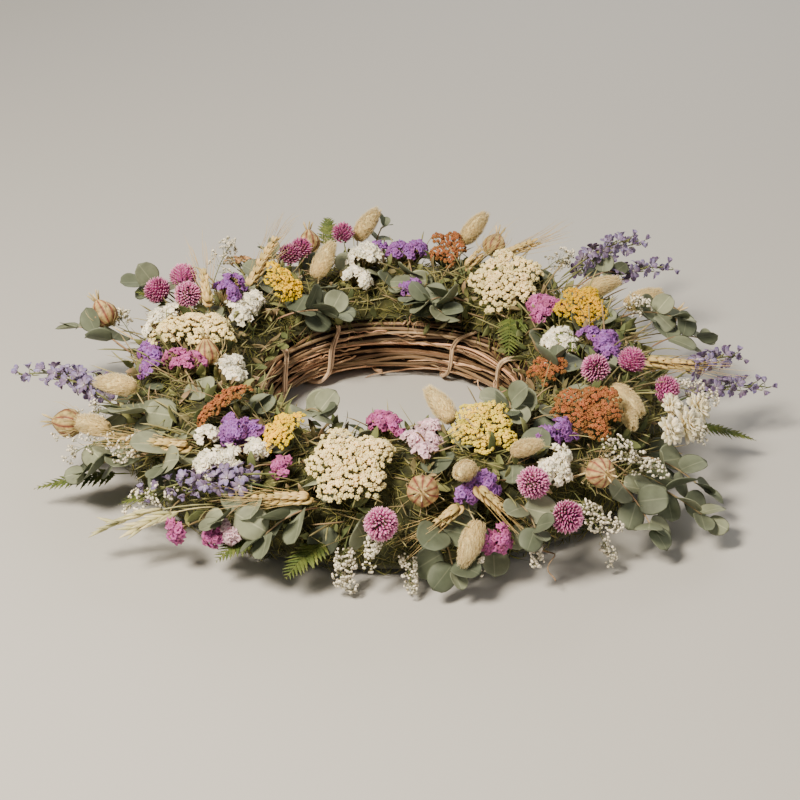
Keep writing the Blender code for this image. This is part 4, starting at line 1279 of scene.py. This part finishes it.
# ------------------------------------------------------------ fern
# Dried fern tips: a thin stalk with toothed leaflets in pairs, dark green above, that shorten to the tip.
TOOTH_SHARE = np.linspace(0, 1, 11)
LEAFLET = drawn_out(
    np.stack([0 * TOOTH_SHARE, -0.12 * TOOTH_SHARE ** 2, TOOTH_SHARE], -1)[None], (1, 0, 0),
    0.17 * (1 - TOOTH_SHARE ** 1.8) * (0.72 + 0.4 * (np.arange(11) % 2)), np.full(11, 0.012), 6, tone=0.5,
)


def frond(root, tip, pairs, width, face=(0, 0, 1.0), bow=(0.0, 0.0, 0.004)):
    """Leaflet pairs along a bowed stalk; a leaflet's length is the width x sin(pi (0.24 + 0.74 s)) to the
    power 0.8."""
    way = unit(tip - root)
    side = unit(np.cross(way, face))
    face = np.cross(side, way)
    share = np.linspace(0.2, 0.985, pairs)
    spots = root + (tip - root) * share[:, None] + np.asarray(bow) * (4 * share * (1 - share))[:, None]
    length = width * np.clip(np.sin(np.pi * (0.24 + 0.74 * share)), 0.03, 1) ** 0.8
    hands = np.array([1.0, -1.0])
    ways = side * hands[:, None, None] + way * (0.45 + 0.5 * share)[:, None]
    ways = unit(ways + chance.normal(0, 0.05, (2, pairs, 3))).reshape(-1, 3)
    faces = unit(face + 0.25 * side * hands[:, None, None] + chance.normal(0, 0.12, (2, pairs, 3)))
    sizes = np.tile(length, 2) * chance.uniform(0.93, 1.07, 2 * pairs)
    leaflets = strewn(LEAFLET, np.tile(spots, (2, 1)), ways, sizes, faces=faces.reshape(-1, 3))
    return together(leaflets, stalk(root, tip, 0.0006, bow=bow, steps=12, tone=0.7))


fern_finish = mottled_finish(
    "fern_leaf", [(0.0, (0.10, 0.135, 0.03)), (0.5, (0.09, 0.125, 0.025)), (1.0, (0.16, 0.19, 0.055))],
    roughness=0.65, tone_spread=0.3, hue_spread=0.02, mottle=(90.0, 0.25), grain=(700.0, 0.4),
)
for node, width in (("fern_left", 0.016), ("fern_right", 0.013)):
    spots, _ = mesh_of(node)
    root = root_of(spots)
    grown(f"{node}_frond", frond(root, tip_of(spots, root), 15, width), fern_finish, "fern", node)

# ------------------------------------------------------------ filling
# Between the named bunches the maker tucks in more of the same: single heads, small tufts, loose leaves
# and the wispy white sea lavender that hangs over the front. Places are (angle, slope, rise).


def heads_between(rows):
    """(base, tip, root) of more heads, from the planted places of their bases and tips."""
    return [(planted(*base), planted(*tip), planted(base[0], base[1], -3.0)) for base, tip in rows]


def upright(rows, length):
    """(base, tip, root) of more heads that stand straight off the moss."""
    return [
        (planted(*row), planted(*row) + off_moss(row[0], row[1]) * length, planted(row[0], row[1], -3.0))
        for row in rows
    ]


MORE_GLOBES = [(103, 66, 20), (122, 86, 14), (118, 84, 16)]
made = [globe_head(*head, bracts=150) for head in upright(MORE_GLOBES, 0.020)]
names = ("globe_bracts_between", "globe_stems_between")
grown_each(names, made, (globe_finish, leaf_finish), "globe_pink", eased=(0,))
MORE_TAILS = [((288, 103, 14), (283, 117, 42)), ((297, 62, 16), (301, 58, 32))]
made = [bunny_head(*head, hairs=1700) for head in heads_between(MORE_TAILS)]
grown_each(("bunny_fur_between", "bunny_stems_between"), made, (bunny_finish, straw_finish), "bunny_tail")
MORE_PODS = [
    ((112, 62, 18), (111, 60, 42)), ((194, 100, 10), (192, 97, 34)),
    ((64, 62, 18), (64, 56, 42)), ((198, 20, 44), (195, 16, 68)),
]
made = [seed_pod(*head) for head in heads_between(MORE_PODS)]
names = ("pod_balloons_between", "pod_ruffs_between")
grown_each(names, made, (pod_finish, straw_finish), "seed_pod", eased=(0, 1))
MORE_EARS = [((160, 90, 16), (153, 80, 46)), ((61, 66, 18), (54, 50, 46)), ((66, 100, 14), (60, 92, 34))]
ears = [wheat_ear(*head) for head in heads_between(MORE_EARS)]
grown("wheat_ears_between", together(*ears), wheat_finish, "wheat", eased=True)
MORE_TUFTS = {
    "purple_statice": [
        (84, 122, 16), (181, 60, 21), (186, 64, 21), (191, 60, 20), (356, 84, 20), (351, 79, 20),
        (2, 92, 20), (0, 80, 20), (312, 66, 18), (308, 68, 18), (288, 45, 24), (284, 42, 24),
        (286, 50, 22), (235, 74, 18), (95, 78, 21),
    ],
    "pink_statice": [
        (233, 10, 52), (239, 11, 42), (289, 16, 34), (286, 14, 32), (246, 54, 18), (24, 104, 20),
        (196, 84, 20),
    ],
    "pale_statice": [(279, 98, 19), (276, 86, 19), (280, 82, 18), (277, 76, 18), (242, 14, 40)],
    "white_statice": [
        (165, 60, 24), (170, 57, 23), (162, 66, 22), (149, 110, 20), (158, 112, 20), (153, 103, 19),
        (145, 106, 20), (197, 110, 18), (202, 113, 18), (192, 118, 18), (306, 48, 24), (302, 46, 24),
        (304, 40, 26), (104, 108, 18), (100, 114, 17), (226, 60, 20), (240, 62, 19), (98, 80, 22),
        (350, 116, 20),
    ],
}
SMALL_TUFT_FLORETS, SMALL_TUFT_RADIUS = 50, 0.0112


def small_tuft(angle, slope, rise):
    """A statice tuft at that planted place, leaning off the moss by chance."""
    way = unit(off_moss(angle, slope) + chance.normal(0, 0.2, 3))
    root = planted(angle, slope, -3.0)
    return statice_tuft(planted(angle, slope, rise), way, SMALL_TUFT_FLORETS, SMALL_TUFT_RADIUS, root)


for kind, rows in MORE_TUFTS.items():
    made = [small_tuft(*row) for row in rows]
    names = (f"{kind}_between", f"{kind}_calyxes_between")
    grown_each(names, made, (statice_finishes[kind], calyx_finish), kind.replace("pale", "pink"))

MORE_SPIRES = [
    ((249, 50, 16), (222, 14, 38), 22), ((196, 30, 14), (184, 22, 66), 16), ((43, 60, 14), (40, 34, 88), 17),
    ((354, 34, 18), (2, 22, 76), 17), ((40, 40, 18), (36, 20, 98), 17), ((246, 40, 14), (230, 24, 30), 16),
]
small_bow = np.array((0, 0, 0.007))
made = [spire(planted(*start), planted(*end), florets, small_bow) for start, end, florets in MORE_SPIRES]
names = ("larkspur_petals_between", "larkspur_eyes_between", "larkspur_stems_between")
grown_each(names, made, (lark_finish, eye_finish, leaf_finish), "larkspur", eased=(0,))

MORE_SPRIGS = [
    ((171, 34, 12), (164, 20, 70), 3, 0.026), ((151, 50, 12), (151, 36, 54), 3, 0.028),
    ((145, 128, 10), (122, 142, 34), 4, 0.029), ((58, 128, 10), (74, 138, 30), 3, 0.030),
    ((245, 34, 8), (240, 18, 34), 2, 0.030), ((256, 34, 10), (248, 16, 34), 3, 0.034),
    ((9, 40, 14), (14, 20, 56), 3, 0.028), ((327, 26, 12), (329, 6, 58), 3, 0.029),
    ((317, 28, 10), (315, 4, 54), 3, 0.030), ((310, 112, 12), (304, 94, 18), 3, 0.028),
    ((278, 30, 10), (280, 4, 32), 2, 0.030), ((20, 54, 12), (15, 34, 46), 3, 0.026),
    ((40, 50, 12), (38, 34, 50), 3, 0.022), ((118, 40, 12), (116, 28, 44), 3, 0.020),
    ((95, 50, 12), (92, 44, 44), 2, 0.018), ((240, 108, 10), (248, 104, 20), 2, 0.028),
    ((207, 46, 8), (202, 34, 26), 2, 0.030), ((336, 112, 8), (340, 110, 20), 2, 0.026),
    ((294, 30, 12), (294, 18, 40), 2, 0.026), ((218, 40, 8), (222, 30, 24), 2, 0.032),
]
made = [sprig(planted(*start), planted(*end), pairs, size) for start, end, pairs, size in MORE_SPRIGS]
names = ("eucalyptus_leaves_between", "eucalyptus_twigs_between")
grown_each(names, made, (eucalyptus_finish, twig_finish), "eucalyptus", eased=(0,))

MORE_FRONDS = [
    ((246, 14, 4), (241, 2, 46), 13, 0.017), ((258, 14, 4), (253, 1, 44), 13, 0.017),
    ((40, 122, 6), (18, 150, 16), 13, 0.014), ((34, 118, 6), (26, 150, 14), 12, 0.013),
    ((154, 50, 10), (158, 44, 46), 11, 0.012), ((352, 100, 8), (0, 112, 24), 11, 0.012),
    ((107, 60, 14), (105, 52, 50), 11, 0.012), ((224, 14, 8), (218, 6, 44), 12, 0.013),
]
made = [frond(planted(*start), planted(*end), pairs, width) for start, end, pairs, width in MORE_FRONDS]
grown("fern_fronds_between", together(*made), fern_finish, "fern", eased=True)


def loose_leaves(many, slopes, size):
    """Single round leaves tucked in by chance: each starts in the moss and leans out of it."""
    angle, slope = chance.uniform(0, 360, many), chance.uniform(*slopes, many)
    out = off_moss(angle, slope)
    sideways = unit(np.cross(out, chance.normal(size=(many, 3))))
    ways = unit(sideways + out * chance.uniform(0.15, 0.9, (many, 1)))
    spots = planted(angle, slope, chance.uniform(0, 6, many))
    sizes = size * chance.uniform(0.7, 1.2, many)
    return leaves_on(spots, ways, sizes, unit(out + 0.4 * chance.normal(size=(many, 3))))


grown("loose_eucalyptus", loose_leaves(115, (-2, 120), 0.023), eucalyptus_finish, "eucalyptus", eased=True)


def loose_stems(many):
    """Bare stems of the bunches, lying low: each leaves the moss and runs outwards and along the ring."""
    angle, slope = chance.uniform(0, 360, many), chance.uniform(15, 140, many)
    out = off_moss(angle, slope)
    radial = on_ring(angle, 1.0, 0.0)
    along = np.cross(out, radial)
    ways = radial * chance.normal(0.5, 0.6, (many, 1))
    ways = ways + unit(along + 1e-9) * chance.normal(0, 0.8, (many, 1))
    ways = unit(ways + out * chance.uniform(0.12, 0.6, (many, 1)))
    start = planted(angle, slope, -1.0)
    length = chance.uniform(0.018, 0.048, (many, 1))
    girth = chance.uniform(0.0003, 0.0009, many)
    bow = out * length * chance.uniform(-0.05, 0.14, (many, 1))
    return stalk(start, start + ways * length, girth, bow=bow)


def narrow_leaves(many, longest):
    """Small pointed leaves on the same bare stems, leaning every way out of the moss."""
    angle, slope = chance.uniform(0, 360, many), chance.uniform(5, 148, many)
    out = off_moss(angle, slope)
    ways = unit(out * chance.uniform(0.2, 1.0, (many, 1)) + chance.normal(0, 0.6, (many, 3)))
    sizes = longest * chance.uniform(0.5, 1.0, many)
    return strewn(LEAF, planted(angle, slope, chance.uniform(0, 9, many)), ways, sizes)


bract_finish = mottled_finish(
    "dry_bracts", [(0.0, (0.17, 0.13, 0.06)), (1.0, (0.30, 0.24, 0.12))],
    roughness=0.7, tone_spread=0.5, hue_spread=0.03, mottle=(90.0, 0.3), grain=(900.0, 0.3),
)
grown("loose_green_stems", loose_stems(900), stem_finish, "fern", eased=True)
grown("loose_dry_stems", loose_stems(600), bract_finish, "wheat", eased=True)
grown("narrow_green_leaves", narrow_leaves(700, 0.020), leaf_finish, "fern")
grown("narrow_dry_leaves", narrow_leaves(350, 0.016), bract_finish, "wheat")


def wisp(root, tip, sprays, reach):
    """Sea lavender: side branches of up to that reach along a bowed stem, forked at their ends, with a tiny
    cup at every end."""
    way = unit(tip - root)
    side, other = flat_axes(way)
    share = chance.uniform(0.25, 1.0, (sprays, 1))
    bow = np.array((0, 0, 0.006))
    spots = root * (1 - share) + tip * share + bow * 4 * share * (1 - share)
    turn = chance.uniform(0, 2 * np.pi, (sprays, 1))
    out = unit(np.cos(turn) * side + np.sin(turn) * other + way * 0.9)
    ends = spots + out * chance.uniform(0.4, 1.0, (sprays, 1)) * reach * (1.15 - 0.7 * share)
    forked = unit(np.repeat(out, 4, 0) + chance.normal(0, 0.6, (4 * sprays, 3)))
    twigs = np.repeat(ends, 4, 0) + forked * 0.0034
    cups = strewn(BEAD, twigs, twigs - np.repeat(spots, 4, 0), chance.uniform(0.0009, 0.0015, 4 * sprays))
    stems = together(
        stalk(root, tip, 0.0005, bow=bow, steps=9, corners=4),
        stalk(spots, ends, 0.00022, steps=4, corners=3),
        stalk(np.repeat(ends, 4, 0), twigs, 0.00016, steps=4, corners=3),
    )
    return cups, stems


LOOSE_WISPS = [
    ((206, 28, 10), (204, 12, 58)), ((195, 34, 10), (198, 14, 60)), ((230, 24, 8), (222, 10, 50)),
    ((318, 30, 14), (322, 20, 44)), ((338, 30, 14), (338, 20, 44)), ((350, 40, 12), (345, 26, 52)),
    ((140, 50, 12), (130, 54, 42)), ((52, 46, 12), (50, 34, 46)), ((214, 40, 12), (214, 24, 38)),
    ((312, 46, 16), (318, 34, 34)), ((20, 58, 12), (16, 50, 34)), ((164, 30, 20), (158, 24, 48)),
]
HANGING_WISPS = [
    ((262, 20, 14), (261, -6, 30)), ((261, 14, 12), (263, -8, 28)), ((272, 14, 10), (273, -8, 28)),
    ((285, 22, 8), (284, 4, 34)), ((306, 30, 14), (307, -4, 50)), ((303, 26, 12), (309, 8, 44)),
    ((295, 18, 14), (294, 4, 38)), ((268, 26, 14), (266, 6, 26)),
]
made = [wisp(planted(*start), planted(*end), 30, 0.013) for start, end in LOOSE_WISPS]
made += [wisp(planted(*start), planted(*end), 36, 0.0062) for start, end in HANGING_WISPS]
wisp_finish = mottled_finish(
    "wisp_cups", [(0.0, (0.36, 0.30, 0.17)), (0.5, (0.88, 0.84, 0.70)), (1.0, (0.60, 0.53, 0.38))],
    roughness=0.8, tone_spread=0.4, hue_spread=0.02, mottle=(200.0, 0.2), grain=(1100.0, 0.3),
)
names = ("wisp_cups", "wisp_stems")
grown_each(names, made, (wisp_finish, leaf_finish), "white_statice", eased=(0, 1))


def strawflower(middle, way, radius):
    """Rings of narrow papery bracts that open wider from the heart out, round a dome of beads."""
    side, other = flat_axes(way)
    rings, shapes = ((7, 0.15, 0.75), (10, 0.45, 0.95), (13, 0.8, 1.05), (14, 1.15, 1.05)), []
    for many, fall, length in rings:
        turn = 2 * np.pi * (np.arange(many) + chance.random()) / many
        out = np.cos(turn)[:, None] * side + np.sin(turn)[:, None] * other
        ways = unit(out * math.sin(fall) + way * math.cos(fall) + chance.normal(0, 0.12, out.shape))
        shapes.append(strewn(PETAL, np.repeat(middle[None], many, 0), ways,
                             np.tile(radius * length * np.array((0.7, 1.0, 1.0)), (many, 1)), faces=way))
    return together(*shapes, strewn(BEAD, middle + way * radius * 0.2, way, radius * 0.25, tone=0.1))


paper_finish = mottled_finish(
    "strawflower_paper", [(0.0, (0.52, 0.38, 0.16)), (0.4, (0.86, 0.77, 0.52)), (1.0, (0.97, 0.91, 0.72))],
    roughness=0.6, tone_spread=0.2, hue_spread=0.015, mottle=(120.0, 0.15), grain=(1100.0, 0.3), glow=0.15,
)
STRAWFLOWERS = [(338, 26, 34, 0.016), (345, 25, 36, 0.014), (333, 30, 30, 0.013), (340, 36, 26, 0.012)]
grown("strawflowers", together(*[
    strawflower(planted(angle, slope, rise), unit(off_moss(angle, slope) + np.array((0, -0.4, 0.3))), radius)
    for angle, slope, rise, radius in STRAWFLOWERS
]), paper_finish, "white_statice")
OATS = [((236, 22, 14), (223, 5, 70)), ((236, 20, 12), (228, 8, 62))]
OAT_GRAINS, OAT_LENGTH = 7, 0.019


def oat_spray(root, tip):
    """Slender husks in pairs that point along a drooping stem."""
    way = unit(tip - root)
    side, other = flat_axes(way)
    share = np.repeat(np.linspace(0.5, 0.98, OAT_GRAINS), 2)[:, None]
    hand = np.tile([1.0, -1.0], OAT_GRAINS)[:, None]
    spots = root * (1 - share) + tip * share + np.array((0, 0, 0.006)) * 4 * share * (1 - share)
    ways = way + side * hand * 0.35 + other * chance.normal(0, 0.15, (2 * OAT_GRAINS, 1))
    sizes = OAT_LENGTH * np.array((0.5, 0.5, 1.0)) * np.ones((2 * OAT_GRAINS, 3))
    return together(
        strewn(GRAIN, spots, ways, sizes), stalk(root, tip, 0.0006, bow=(0, 0, 0.006), steps=9),
    )


oat_finish = mottled_finish(
    "oat_husk", [(0.0, (0.34, 0.32, 0.14)), (0.5, (0.58, 0.54, 0.28)), (1.0, (0.74, 0.68, 0.42))],
    roughness=0.5, tone_spread=0.25, hue_spread=0.015, mottle=(150.0, 0.2), grain=(1100.0, 0.4),
)
oats = together(*[oat_spray(planted(*start), planted(*end)) for start, end in OATS])
grown("oat_sprays", oats, oat_finish, "wheat", eased=True)


def tendril(start, end, loops, size):
    """A thin dry tendril: a straight run with a coil whose width is size x sin(pi s)."""
    way = np.linspace(0, 1, 60)[:, None]
    side, other = flat_axes(unit(end - start))
    turn = 2 * np.pi * loops * way
    coil = size * np.sin(np.pi * way) * (np.cos(turn) * side + np.sin(turn) * other)
    return drawn_out((start * (1 - way) + end * way + coil)[None], (0.3, 0.2, 0.9), 0.0005, 0.0005, 5)


TENDRILS = [
    ((297, 24, 14), (296, -4, 50), 2.5), ((320, 128, 22), (322, 146, 44), 2.0),
    ((80, 138, 12), (76, 156, 30), 2.5),
]
tendrils = [tendril(planted(*start), planted(*end), loops, 0.006) for start, end, loops in TENDRILS]
grown("vine_tendrils", together(*tendrils), vine_finish, "vine_bark", eased=True)
